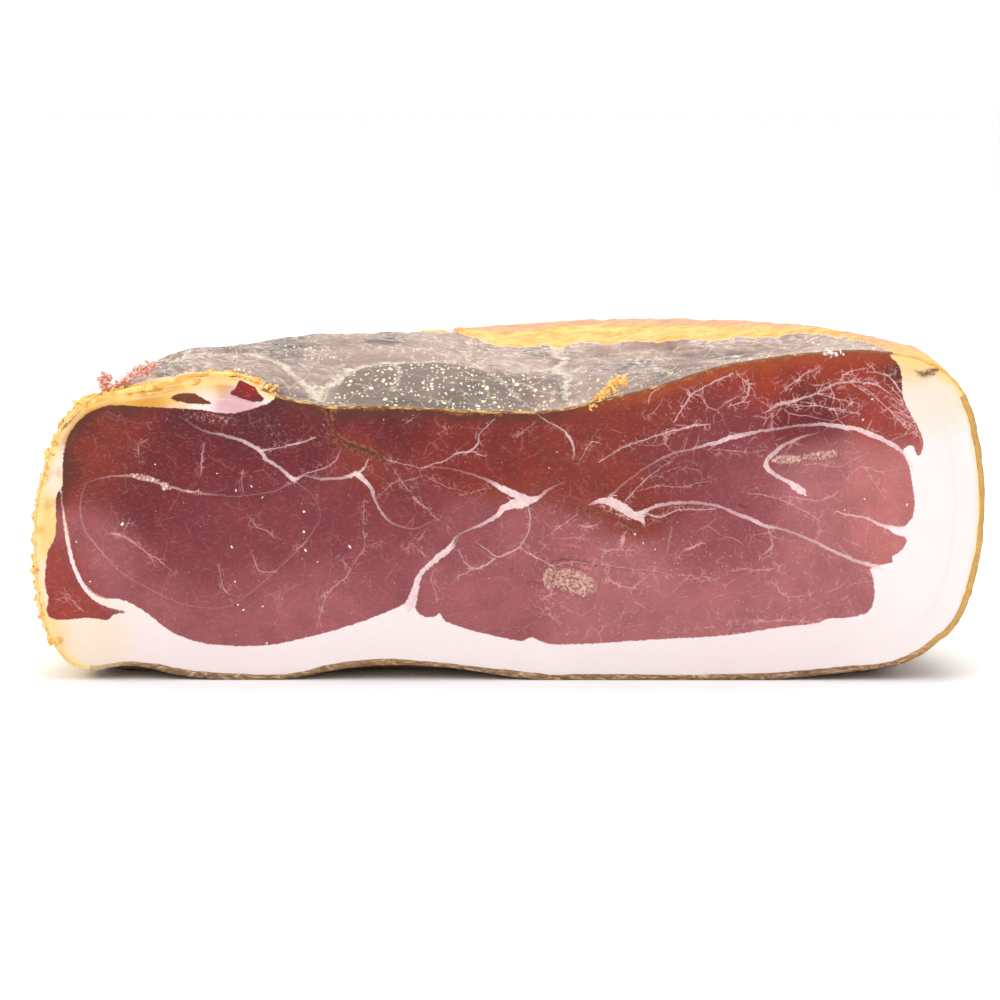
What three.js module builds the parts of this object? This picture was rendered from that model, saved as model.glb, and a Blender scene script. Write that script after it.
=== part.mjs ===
// A boneless dry-cured ham, cut across and lying rind down. The flat cut face stands upright at the front,
// the dried flesh side is the hollowed top, and the rind wraps the underside, the right end and the round back.
// It grew as one piece, so it is one closed solid.
// Millimetres. +Z is up, the cut face looks along -Y, and the origin is on the resting plane, under the middle
// of the width and the depth.

import * as THREE from "three";
import { mergeVertices } from "three/addons/utils/BufferGeometryUtils.js";

// Driving dimensions.
const CUT_WIDTH = 264; // across the cut face, from the lean's trimmed left end to the rind at the right
const CUT_HEIGHT = 92.5; // from the resting plane to the highest point of the cut face
const HAM_DEPTH = 150; // from the cut face to the middle of the round back
const RIM_HEIGHT = 6; // how far the fat rim at the back stands over the dried flesh
const RIM_END_HEIGHT = 2; // how far it still stands over it at the right end
const RIM_DROP = 3; // how far the back edge falls away at the left, where the fat was trimmed off
const RIM_WIDTH = 17; // how broad that rim is, from the back edge forwards
const SOLE_DEPTH = 22; // how far behind the cut face the underside settles flat on the resting plane
const SADDLE_DEPTH = 57; // how far behind the cut face the flesh side settles into its saddle
const BELLY_INSET = 30; // how far the round back draws in towards the underside
const BELLY_HEIGHT = 52; // how high above the resting plane that drawing-in starts
const SHOULDER_INSET = 12; // how far the round back draws in towards the flesh side
const SHOULDER_HEIGHT = 30; // how far below the flesh side that drawing-in starts

// Mesh density: how many strips the solid has along its width, depth and height, and how they crowd to the edges.
const STRIPS = { width: 44, depth: 20, height: 14 };
const CROWDING = 0.09;
const RELAX_PASSES = 6; // how often the finished form is evened out
const RELAX_DEPTH = 45; // how far behind the cut face the evening out reaches its full strength

// How round the ground plan is: 0 keeps the corners of a rectangle, 1/2 makes half a true ellipse.
const PLAN_ROUNDNESS = 0.5;

// The cut face as drawn, [x, z] in millimetres, in four runs that share their end points.
const CUT_BOTTOM = [
  [-124, 5], [-118, 2.5], [-110, 4], [-103, 4], [-95, 1.8], [-85, 0.5], [-72, 0], [-60, 0.6], [-50, 3],
  [-40, 4.2], [-28, 4.4], [-15, 3.5], [-5, 1.8], [5, 0.3], [20, 0], [60, 0], [78, 0.8], [95, 2.6],
  [108, 4.4], [115, 8], [120, 12],
];
const CUT_RIGHT = [
  [120, 12], [125, 17.5], [128.5, 28], [130.6, 40], [130.8, 52], [129.3, 66], [126.3, 78], [122, 84.5],
  [118, 87.5],
];
const CUT_TOP = [
  [-118, 78], [-108, 80.3], [-98, 81.5], [-88, 84.4], [-76, 84.7], [-70, 82.5], [-64, 79], [-56, 78],
  [-50, 76], [-44, 77], [-25, 76.2], [-5, 75.4], [10, 75.2], [18, 76.7], [27, 79.2], [38, 81.7],
  [48, 85.2], [58, 88], [70, 90.1], [83, 91.6], [95, 92.4], [104, 91.7], [112, 90.3], [118, 87.5],
];
const CUT_LEFT = [
  [-124, 5], [-129, 12], [-131.6, 20], [-132.5, 31], [-133, 40], [-132.4, 48], [-130.3, 55], [-128.5, 63],
  [-124, 72], [-118, 78],
];

// Further back the underside lies flat and the flesh side is a broad saddle between two swells.
const SOLE = [[-124, 5], [-118, 2], [-106, 0], [-60, 0], [0, 0], [60, 0], [100, 0], [112, 4], [120, 12]];
const SADDLE = [
  [-118, 78], [-106, 85], [-90, 88], [-75, 88.5], [-60, 88], [-40, 86.5], [-20, 83.5], [0, 81.5],
  [20, 82], [50, 83.5], [80, 85.5], [104, 87.5], [118, 87.5],
];

const curve = (points) => new THREE.SplineCurve(points.map(([x, z]) => new THREE.Vector2(x, z)));
const FRONT = { bottom: curve(CUT_BOTTOM), right: curve(CUT_RIGHT), top: curve(CUT_TOP), left: curve(CUT_LEFT) };
const BEHIND = { bottom: curve(SOLE), right: FRONT.right, top: curve(SADDLE), left: FRONT.left };

// The drawing is stretched to the driving width and height.
const DRAWN = extent([...CUT_BOTTOM, ...CUT_RIGHT, ...CUT_TOP, ...CUT_LEFT]);
const STRETCH_X = CUT_WIDTH / (DRAWN.max.x - DRAWN.min.x);
const STRETCH_Z = CUT_HEIGHT / (DRAWN.max.y - DRAWN.min.y);

function extent(points) {
  return new THREE.Box2().setFromPoints(points.map(([x, z]) => new THREE.Vector2(x, z)));
}

const { clamp, lerp, smoothstep } = THREE.MathUtils;

// A point of one run of the section, at share u of its length, between the cut face and the form behind it.
function runPoint(side, u, depthShare) {
  const atCut = FRONT[side].getPointAt(u);
  const settling = side === "bottom" ? SOLE_DEPTH : SADDLE_DEPTH;
  return atCut.lerp(BEHIND[side].getPointAt(u), smoothstep(depthShare * HAM_DEPTH, 0, settling));
}

// A point of the section across the ham: across and up run from 0 to 1, and the four runs bound the patch.
function sectionPoint(across, up, depthShare) {
  const at = (side, u) => runPoint(side, u, depthShare);
  const sum = new THREE.Vector2();
  sum.addScaledVector(at("bottom", across), 1 - up).addScaledVector(at("top", across), up);
  sum.addScaledVector(at("left", up), 1 - across).addScaledVector(at("right", up), across);
  sum.addScaledVector(at("bottom", 0), -(1 - across) * (1 - up)).addScaledVector(at("bottom", 1), -across * (1 - up));
  sum.addScaledVector(at("top", 0), -(1 - across) * up).addScaledVector(at("top", 1), -across * up);
  return sum;
}

// The rim that the rind and its fat leave round the back and the right end of the flesh side.
function rimRise(side, up, depthShare) {
  const onTop = smoothstep(up, 0.9, 1);
  const outwards = Math.sqrt(1 - (1 - side ** 2) * (1 - depthShare ** 2)); // 1 on the edge of the ground plan
  const width = RIM_WIDTH / HAM_DEPTH;
  const nearEdge = smoothstep(outwards, 1 - 1.6 * width, 1 - 0.6 * width);
  const leavesCut = smoothstep(depthShare, 0, 0.4);
  const trimmed = lerp(-RIM_DROP, RIM_HEIGHT, smoothstep(side, -0.5, 0.1));
  const height = lerp(trimmed, RIM_END_HEIGHT, smoothstep(side, 0.4, 1));
  return height * onTop * nearEdge * leavesCut;
}

// A quarter of an ellipse, inset deep, that starts at share 0 and is steepest at share 1.
function quarterInset(inset, share) {
  return inset * (1 - Math.sqrt(1 - clamp(share, 0, 1) ** 2));
}

// How far the round back draws in at a height above the resting plane, under a flesh side at the height top.
function backInset(height, top) {
  const belly = quarterInset(BELLY_INSET, 1 - height / BELLY_HEIGHT);
  const shoulder = quarterInset(SHOULDER_INSET, 1 - (top - height) / SHOULDER_HEIGHT);
  return belly + shoulder;
}

// Moves even strips towards both edges of a side, where the form turns.
const crowd = (share) => share - CROWDING * Math.sin(2 * Math.PI * share);

// Bends a point of the 2 x 2 x 2 box, whose sides are the ham's own sides, to its place on the ham.
function bend(point) {
  const across = crowd((point.x + 1) / 2); // 0 at the left end, 1 at the right
  const depthShare = crowd((point.y + 1) / 2); // 0 on the cut face, 1 at the back
  const up = crowd((point.z + 1) / 2); // 0 on the underside, 1 on the flesh side
  const side = 2 * across - 1;
  const section = sectionPoint(across, up, depthShare);
  const height = Math.max(section.y, 0) * STRETCH_Z; // nothing reaches below the resting plane
  const top = runPoint("top", across, depthShare).y * STRETCH_Z;
  const planWidth = Math.sqrt(1 - PLAN_ROUNDNESS * depthShare ** 2);
  const planDepth = Math.sqrt(1 - PLAN_ROUNDNESS * side ** 2);
  return point.set(
    section.x * STRETCH_X * planWidth,
    (HAM_DEPTH - backInset(height, top)) * depthShare * planDepth,
    height + rimRise(side, up, depthShare),
  );
}

// Evens out the form: in each pass, points well behind the cut face move halfway to their neighbours' middle.
function relax(geometry) {
  const places = geometry.getAttribute("position");
  const corners = geometry.getIndex().array;
  const neighbours = Array.from({ length: places.count }, () => new Set());
  corners.forEach((corner, i) => {
    const first = i - (i % 3);
    const next = corners[first + ((i + 1) % 3)];
    neighbours[corner].add(next);
    neighbours[next].add(corner);
  });
  const point = new THREE.Vector3();
  const middle = new THREE.Vector3();
  for (let pass = 0; pass < RELAX_PASSES; pass++) {
    const before = places.clone();
    neighbours.forEach((around, i) => {
      point.fromBufferAttribute(before, i);
      middle.set(0, 0, 0);
      around.forEach((j) => {
        middle.x += before.getX(j) / around.size;
        middle.y += before.getY(j) / around.size;
        middle.z += before.getZ(j) / around.size;
      });
      point.lerp(middle, smoothstep(point.y, 0, RELAX_DEPTH) / 2); // the cut face itself stays
      places.setXYZ(i, point.x, point.y, point.z);
    });
  }
}

function makeHam() {
  const box = new THREE.BoxGeometry(2, 2, 2, STRIPS.width, STRIPS.depth, STRIPS.height);
  box.deleteAttribute("normal");
  box.deleteAttribute("uv");
  const geometry = mergeVertices(box, 1e-6);
  const places = geometry.getAttribute("position");
  const point = new THREE.Vector3();
  for (let i = 0; i < places.count; i++) {
    bend(point.fromBufferAttribute(places, i));
    places.setXYZ(i, point.x, point.y, point.z);
  }
  relax(geometry);
  geometry.computeBoundingBox();
  const { min, max } = geometry.boundingBox;
  geometry.scale(1, HAM_DEPTH / max.y, 1); // gives back the depth that relaxing took
  geometry.translate(-(min.x + max.x) / 2, -HAM_DEPTH / 2, 0);
  geometry.computeVertexNormals();
  const flesh = new THREE.MeshStandardMaterial({ color: 0x84464a, roughness: 0.55, metalness: 0 });
  const ham = new THREE.Mesh(geometry, flesh);
  ham.name = "ham";
  return ham;
}

const part = new THREE.Group();
part.add(makeHam());

export default part;
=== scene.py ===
"""A cut, dry-cured ham: marbled lean and thick fat, a dried crust on top, and rind round the rest.

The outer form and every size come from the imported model. Anatomy is drawn in millimetres on the cut face,
with x to the right and z up from the resting plane, and is laid on the face by CutPlane.
"""

from __future__ import annotations

import logging
import math
import random
from dataclasses import dataclass, field
from enum import Enum
from typing import Iterable, Optional, Sequence, Union

import bmesh
import bpy
import numpy as np
from mathutils import Matrix, Vector, noise
from mathutils.bvhtree import BVHTree

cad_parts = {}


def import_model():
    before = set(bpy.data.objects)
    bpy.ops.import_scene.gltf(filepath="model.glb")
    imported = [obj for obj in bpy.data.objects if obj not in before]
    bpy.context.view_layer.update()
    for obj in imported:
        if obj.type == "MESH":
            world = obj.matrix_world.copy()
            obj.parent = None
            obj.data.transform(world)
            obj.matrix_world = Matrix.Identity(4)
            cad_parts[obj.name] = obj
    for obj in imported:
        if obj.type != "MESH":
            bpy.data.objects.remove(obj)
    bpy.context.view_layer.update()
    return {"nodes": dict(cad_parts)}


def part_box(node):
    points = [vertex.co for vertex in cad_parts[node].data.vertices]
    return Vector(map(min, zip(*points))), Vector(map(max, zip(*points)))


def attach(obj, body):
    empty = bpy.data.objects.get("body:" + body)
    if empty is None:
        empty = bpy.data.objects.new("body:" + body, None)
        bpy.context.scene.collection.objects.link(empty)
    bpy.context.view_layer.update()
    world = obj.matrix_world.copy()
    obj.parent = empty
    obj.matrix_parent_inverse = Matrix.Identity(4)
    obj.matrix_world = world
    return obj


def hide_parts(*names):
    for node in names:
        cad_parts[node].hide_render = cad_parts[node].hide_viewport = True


LOG = logging.getLogger("ham")
MM = 0.001
NODE = "ham"
BODY = "root"

Point = tuple[float, float]
Stroke = list[tuple[float, float, float]]
Rgb = tuple[float, float, float]
Array = np.ndarray
Shape = bmesh.types.BMesh
Socket = bpy.types.NodeSocket
Value = Union[float, Rgb, Socket]


def linear(red: float, green: float, blue: float) -> Rgb:
    """Turns a colour of 0 to 255 per channel into the linear values that shaders use."""

    def channel(value: float) -> float:
        share = value / 255
        return share / 12.92 if share <= 0.04045 else ((share + 0.055) / 1.055) ** 2.4

    return channel(red), channel(green), channel(blue)


# ---- anatomy


class LeanTone(Enum):
    """Colours of lean meat, from the dark dried edge to the pale muscle by the fat."""

    BARK = linear(98, 62, 50)
    PLUM = linear(98, 55, 62)
    MAROON = linear(116, 59, 62)
    WINE = linear(134, 72, 76)
    DUSK = linear(150, 86, 90)
    ROSE = linear(165, 99, 102)
    PINK = linear(177, 111, 113)
    CORAL = linear(191, 119, 117)
    SALMON = linear(158, 76, 70)
    BRICK = linear(139, 69, 62)
    RUST = linear(134, 64, 52)
    EMBER = linear(158, 72, 58)
    CHERRY = linear(152, 46, 62)
    UMBER = linear(124, 78, 30)


class FatTone(Enum):
    """Colours of fat, from the fresh inner white to the gold of the old outside."""

    WHITE = linear(250, 240, 239)
    SHELL = linear(249, 233, 233)
    CREAM = linear(247, 228, 206)
    BUTTER = linear(244, 212, 140)
    AMBER = linear(250, 206, 96)
    GOLD = linear(224, 158, 60)
    TAN = linear(214, 160, 112)
    BLUSH = linear(222, 168, 174)


@dataclass(frozen=True)
class Spot:
    """A place on the cut face whose tone spreads over a reach, in millimetres."""

    x: float
    z: float
    reach: float
    tone: Enum


LEAN_SPOTS = [
    # The big round muscle at the left, with its oval core.
    Spot(-112, 65, 13, LeanTone.BRICK),
    Spot(-113, 36, 10, LeanTone.ROSE),
    Spot(-100, 50, 11, LeanTone.MAROON),
    Spot(-86, 38, 19, LeanTone.WINE),
    Spot(-62, 46, 14, LeanTone.WINE),
    Spot(-93, 64, 13, LeanTone.MAROON),
    Spot(-75, 60, 12, LeanTone.MAROON),
    Spot(-72, 17, 14, LeanTone.ROSE),
    Spot(-95, 20, 10, LeanTone.ROSE),
    # Its dried upper edge, and the wedge beside it.
    Spot(-123, 60, 4, LeanTone.BARK),
    Spot(-119, 71, 4, LeanTone.BARK),
    Spot(-107, 76, 4, LeanTone.BARK),
    Spot(-90, 73, 4, LeanTone.PLUM),
    Spot(-89, 79.4, 4.2, LeanTone.UMBER),
    Spot(-73, 81.4, 3.2, LeanTone.CHERRY),
    Spot(-72, 71, 8, LeanTone.PLUM),
    Spot(-125, 30, 7, LeanTone.SALMON),
    Spot(-121, 19, 6, LeanTone.SALMON),
    # The narrow muscles between the left and the middle.
    Spot(-57, 71, 6, LeanTone.MAROON),
    Spot(-58, 62, 6, LeanTone.MAROON),
    Spot(-38, 57, 8, LeanTone.BRICK),
    Spot(-45, 41, 13, LeanTone.WINE),
    Spot(-49, 24, 12, LeanTone.ROSE),
    Spot(-36, 32, 9, LeanTone.DUSK),
    Spot(-30, 50, 9, LeanTone.WINE),
    # The band under the crust.
    Spot(-30, 71, 8, LeanTone.MAROON),
    Spot(-18, 66, 9, LeanTone.RUST),
    Spot(0, 69, 12, LeanTone.RUST),
    Spot(20, 69, 10, LeanTone.BRICK),
    Spot(44, 77, 11, LeanTone.BRICK),
    Spot(68, 84, 10, LeanTone.EMBER),
    Spot(90, 87, 8, LeanTone.EMBER),
    Spot(108, 86, 5, LeanTone.BARK),
    # The middle and the lower right muscle.
    Spot(-10, 25, 14, LeanTone.ROSE),
    Spot(-12, 38, 8, LeanTone.DUSK),
    Spot(10, 38, 11, LeanTone.ROSE),
    Spot(15, 58, 11, LeanTone.BRICK),
    Spot(35, 50, 8, LeanTone.BRICK),
    Spot(32, 20, 14, LeanTone.PINK),
    Spot(60, 20, 14, LeanTone.PINK),
    Spot(88, 25, 11, LeanTone.PINK),
    Spot(58, 37, 11, LeanTone.DUSK),
    # The right muscles, above the long seam.
    Spot(50, 60, 11, LeanTone.WINE),
    Spot(63, 55, 11, LeanTone.DUSK),
    Spot(85, 55, 11, LeanTone.PINK),
    Spot(101, 55, 9, LeanTone.CORAL),
    Spot(103, 38, 6, LeanTone.CORAL),
    Spot(62, 75, 9, LeanTone.WINE),
    Spot(80, 74, 9, LeanTone.MAROON),
    Spot(102, 77, 8, LeanTone.SALMON),
]

FAT_SPOTS = [
    Spot(-20, 6, 30, FatTone.SHELL),
    Spot(50, 5, 30, FatTone.SHELL),
    Spot(-80, 5, 22, FatTone.SHELL),
    Spot(0, 50, 60, FatTone.WHITE),
    Spot(119, 45, 30, FatTone.WHITE),
    Spot(117, 77, 8, FatTone.CREAM),
    Spot(111, 88, 5, FatTone.BUTTER),
    Spot(113, 92, 4, FatTone.AMBER),
    Spot(121, 87, 3.5, FatTone.AMBER),
    Spot(127, 78, 3, FatTone.BUTTER),
    Spot(-117, 10, 9, FatTone.CREAM),
    Spot(-130, 10, 6, FatTone.BUTTER),
    Spot(-131, 27, 5, FatTone.CREAM),
    Spot(-131, 44, 7, FatTone.BUTTER),
    Spot(-128, 59, 6, FatTone.CREAM),
    Spot(-124, 71, 5, FatTone.TAN),
    Spot(-113, 78, 6, FatTone.GOLD),
    Spot(-101, 79, 7, FatTone.GOLD),
    Spot(-92, 82, 5, FatTone.BUTTER),
    Spot(-95, 83, 4, FatTone.AMBER),
    Spot(-84, 83.4, 3.4, FatTone.AMBER),
    Spot(-84, 80.4, 2.2, FatTone.CREAM),
    Spot(-86, 78, 3, FatTone.SHELL),
    Spot(-107, 80.6, 4, FatTone.AMBER),
    Spot(-122.5, 36, 3, FatTone.SHELL),
    Spot(-124.6, 48, 2, FatTone.SHELL),
    Spot(-119, 27, 3, FatTone.SHELL),
    Spot(-76, 77, 5, FatTone.BLUSH),
    Spot(-80, 84, 3, FatTone.GOLD),
    Spot(-66, 82, 3, FatTone.CREAM),
]

# Where lean meets fat. The main outline runs past the top of the ham, where the crust ends the lean.
MAIN_LEAN: list[Point] = [
    (-124.5, 57), (-124.3, 62), (-123, 68), (-120, 72.5), (-116, 75.5), (-111, 77), (-98, 76.4), (-86, 75.8),
    (-82, 75), (-77, 74.8), (-72, 76), (-66, 78.5), (-63.5, 84), (-20, 100), (60, 105), (103.5, 96),
    (104.5, 90.5), (106.5, 88.5), (107.6, 85), (107.9, 79.5), (110, 75), (113, 69.5), (113.8, 66.5),
    (113, 63.2), (112, 63.2), (110.8, 65.8), (108.2, 64.6), (109.7, 61), (111, 55), (111.7, 50), (111.2, 46),
    (109, 43.4), (104, 43), (106, 41.3), (109.6, 39.8), (108.4, 36.8), (105.5, 34.6), (106, 33.3),
    (102.5, 32.4), (99.6, 31.4), (100.5, 28.5), (100.8, 23.5), (100, 20), (98, 18.6), (93, 17.5),
    (87.5, 17.3), (85.5, 16.1), (75, 14.9), (60, 12.6), (40, 11.4), (20, 10.1), (10, 10.2), (5.5, 12),
    (3, 11),
    (-4, 12.2), (-12, 14.2), (-18.5, 16.5), (-20.2, 18.8), (-21.5, 17.7), (-24.5, 17.8), (-26.6, 19.5),
    (-27.4, 22.5), (-28.6, 22.4), (-31, 20.8), (-42, 16.3), (-51, 13.5), (-60, 11.2), (-66, 10), (-73, 9.5),
    (-80, 9.6), (-86, 10.3), (-94, 13), (-102, 19), (-108, 22.4), (-114.5, 23.2), (-117.5, 25),
    (-120.5, 30), (-122.3, 36), (-123.7, 44), (-124.7, 50),
]
LEFT_WEDGE: list[Point] = [
    (-129, 22.5), (-130, 27), (-129, 36), (-127, 40), (-126.5, 46), (-126.5, 51), (-125.2, 54), (-124.8, 49),
    (-124.4, 43), (-123, 34.5), (-121, 28.5), (-118.5, 24.5), (-115.5, 21.8), (-112, 20.3), (-107, 18.9),
    (-111, 18.3), (-112.5, 16.8), (-118, 17.4), (-124, 16.9), (-128, 17.1), (-129.7, 19),
]
BROWN_STRIP: list[Point] = [
    (-94.5, 79), (-92, 80.2), (-88, 80.3), (-85.5, 79), (-83, 77.5), (-87, 77.4), (-91, 77.8),
]
RED_PIECE: list[Point] = [
    (-78, 80.5), (-76.5, 81.5), (-75.5, 83.5), (-74, 84), (-71.5, 83.5), (-70.5, 81), (-68.3, 78.6),
    (-71, 77.9), (-75, 79),
]

# White seams between the muscles: x, z and the seam's width there.
SEAMS: list[Stroke] = [
    # The skin of the left muscle.
    [(-124.9, 54, 0.4), (-124.7, 49, 0.7), (-123.6, 42, 0.9), (-122.2, 34, 0.9), (-120, 28, 1),
     (-116.5, 24.2, 1), (-113, 22.8, 0.6)],
    # Its oval core, above and below.
    [(-118, 55.5, 0.3), (-113, 57, 0.5), (-106, 57.3, 0.8), (-100, 56, 0.9), (-92, 53.4, 0.8),
     (-82, 52, 0.5), (-76, 51.7, 0.4), (-66, 53, 0.4), (-60.8, 55.7, 0.7)],
    [(-118, 55.5, 0.3), (-119.8, 49, 0.5), (-118.5, 42, 0.5), (-115.5, 38, 0.6), (-110, 31.5, 0.4),
     (-102, 26.2, 0.4), (-91, 21.2, 0.3), (-80, 20.4, 0.3), (-73, 24.5, 0.4), (-66, 30.5, 0.4),
     (-59, 37, 0.4), (-54.5, 43, 0.4), (-53.2, 46.5, 0.3), (-55, 51.5, 0.3), (-60, 56, 0.4)],
    # The upper seam, from the left muscle down to the middle.
    [(-92, 74, 0.2), (-85, 69.9, 0.6), (-78, 68.3, 1), (-74, 66.8, 1.1), (-69.5, 64.3, 1.3),
     (-68, 62, 1.2), (-63.5, 58.8, 1.1), (-60.5, 56.2, 1.5), (-57.5, 57.4, 0.7), (-53, 56.5, 0.8),
     (-47, 56.8, 1), (-43, 57.7, 1.6), (-39, 53.8, 1.2), (-38, 51, 0.9), (-36.5, 47.5, 0.9),
     (-33.5, 44.3, 0.7), (-30, 43, 0.6), (-27, 42.4, 0.5), (-22, 45, 0.3)],
    # The fat that rises between the left and the right muscles.
    [(-28.3, 21, 3.4), (-27.3, 24, 2.6), (-26.4, 27, 1.9), (-25.6, 29.5, 1.6), (-21, 34, 2),
     (-16.6, 38, 1.9), (-14.5, 41, 0.8), (-9.5, 43.2, 1), (-4, 46.3, 1.6), (-2, 48.6, 2.2),
     (2, 49.4, 3.2), (5, 50.6, 2.4)],
    [(-24.5, 60, 0.4), (-15, 58.9, 0.5), (-7, 56.2, 0.8), (-3, 54.2, 1.8), (1, 52.2, 2.8),
     (4.4, 50.6, 2.6), (7.5, 51.5, 1.2), (10, 53.4, 0.8), (14.5, 55.7, 0.3)],
    # The pale patch in the middle and the arc that leaves it.
    [(22, 49.6, 0.8), (24.5, 50.3, 1.8), (27.5, 50.2, 2.6), (30.5, 48.6, 3.4), (33, 46.6, 3.4),
     (35.5, 45.6, 2.6), (36.7, 43.6, 0.6)],
    [(26, 50.6, 1), (30, 54.5, 0.6), (37.5, 60, 0.6), (43, 63, 0.7), (50, 65, 0.8), (56, 66.6, 1.3),
     (61, 68.2, 1.5), (68, 69.7, 1), (75, 70.8, 0.8), (82, 71.6, 0.9), (88, 71.6, 1.3),
     (95, 70.4, 1.6), (101, 68.2, 1.6), (105.5, 65.8, 1.5), (108.6, 63.6, 1.2), (110.6, 60, 1)],
    # The long seam to the right.
    [(34, 46.4, 2), (38, 48, 1.2), (41, 49.3, 1.1), (50, 50, 0.9), (57, 48.9, 0.9), (63, 46.6, 1.1),
     (67.5, 44.8, 1.3), (70.5, 43.4, 1.2), (75, 42.5, 0.8), (82, 39.8, 0.9), (90, 36, 1.1),
     (97, 33.2, 1.2), (101.5, 31.8, 1.6)],
    # The comma of fat inside the right muscle.
    [(84.5, 69.4, 0.4), (80, 68.2, 0.9), (75, 65.8, 1.1), (71, 62.6, 1.4), (70.2, 60.6, 1.5),
     (72, 58.3, 1.4), (76, 56, 1.5), (78.5, 54.4, 2.4), (80.5, 52.8, 2.2)],
]
BRANCHES: list[Stroke] = [
    [(-69.5, 64.5, 0.9), (-63, 65.5, 0.6), (-58, 66.8, 0.8), (-55, 68, 0.7)],
    [(-57.5, 57.8, 0.3), (-51, 60, 0.5), (-48.5, 62, 0.4), (-47.5, 64.5, 0.3)],
    [(-42.5, 57.8, 1.3), (-40.7, 59.8, 0.8), (-39.8, 62, 0.3)],
    [(-24.5, 59.7, 0.6), (-18, 61.8, 0.5), (-15, 63.7, 0.8), (-11.5, 64.2, 0.9), (-9.4, 66.5, 0.7),
     (-9, 69, 0.5), (-5, 73, 0.3)],
    [(-11.5, 64.2, 0.6), (-7.5, 63, 0.4)],
    [(-35, 62, 0.4), (-31, 61, 0.3), (-24.7, 59.2, 0.4)],
    [(4.7, 48, 0.6), (5.3, 45.4, 0.4), (4.5, 41.6, 0.5), (2, 37.5, 0.7), (-1.5, 35.5, 0.6),
     (-4, 34.5, 0.7), (-10, 31.2, 0.7), (-13, 33, 0.4), (-14.8, 36.5, 0.4)],
    [(-10, 31.3, 0.5), (-15.3, 29, 0.3)],
    [(-4, 34.5, 0.5), (-9.5, 38.5, 0.3)],
    [(2.5, 37, 0.4), (7, 34.5, 0.5), (12, 31.5, 0.6)],
    [(12, 42.3, 0.3), (18, 46.5, 0.4)],
    [(-22, 30.5, 0.3), (-22.3, 28, 0.3), (-20.5, 22.3, 0.2)],
    [(31.5, 50.5, 0.5), (37, 56.2, 0.4), (44, 61.5, 0.3)],
    [(36, 47.3, 0.8), (41, 46, 0.8), (46, 47.8, 0.5), (56, 48, 0.4)],
    [(90.5, 47.2, 0.5), (94, 46.4, 0.7), (99, 45.2, 0.9), (103, 43.4, 1.6), (108, 42.4, 1.4)],
    [(70.5, 75.4, 0.3), (73.5, 77.2, 1.3), (79, 78.5, 1), (84, 80.4, 0.7), (89, 83, 1),
     (95, 83.6, 0.6), (100, 82.8, 0.7), (105, 80, 0.4)],
    [(84, 80.2, 0.5), (91, 78.6, 0.4), (96, 77.3, 0.3)],
    [(78, 76.6, 0.3), (84, 77, 0.4), (90, 75.6, 0.4), (95, 75, 0.3)],
    [(90, 83.2, 0.5), (92.5, 86, 0.4), (99, 87.5, 0.3)],
    [(74.5, 80.8, 0.3), (78, 83.6, 0.5), (80.5, 85.5, 0.5), (84, 87, 0.3)],
    [(24.5, 61.5, 0.5), (29, 64.4, 0.6), (33, 66.3, 0.6), (43, 69.5, 0.7), (49, 71.1, 0.9),
     (54.5, 71.9, 0.4)],
    [(45, 72.8, 0.4), (48, 77.5, 0.6), (49.4, 79.8, 0.6), (55, 83.2, 0.6), (61, 86, 0.5)],
    [(60, 77, 0.4), (64, 78.2, 0.6), (65.4, 80.4, 0.6), (65, 83.4, 0.5), (62, 85.7, 0.4)],
    [(37.8, 78, 0.4), (38.4, 80.3, 0.5), (41, 82, 0.4)],
    [(7, 74.8, 0.3), (9.5, 72.8, 0.5), (13.4, 70.6, 0.6), (16, 67.8, 1.2), (17.2, 65, 0.7), (17, 62.4, 0.4)],
    [(6, 72, 0.3), (1.5, 68.5, 0.4)],
    [(18.8, 61.8, 0.3), (22, 66.8, 0.4), (24.5, 66.5, 0.3)],
    [(100, 86.4, 0.4), (104, 85, 0.7), (107.4, 80.8, 0.9)],
    [(97.5, 82, 0.4), (102.4, 77.6, 0.4), (108.6, 71.4, 0.5)],
]
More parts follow.
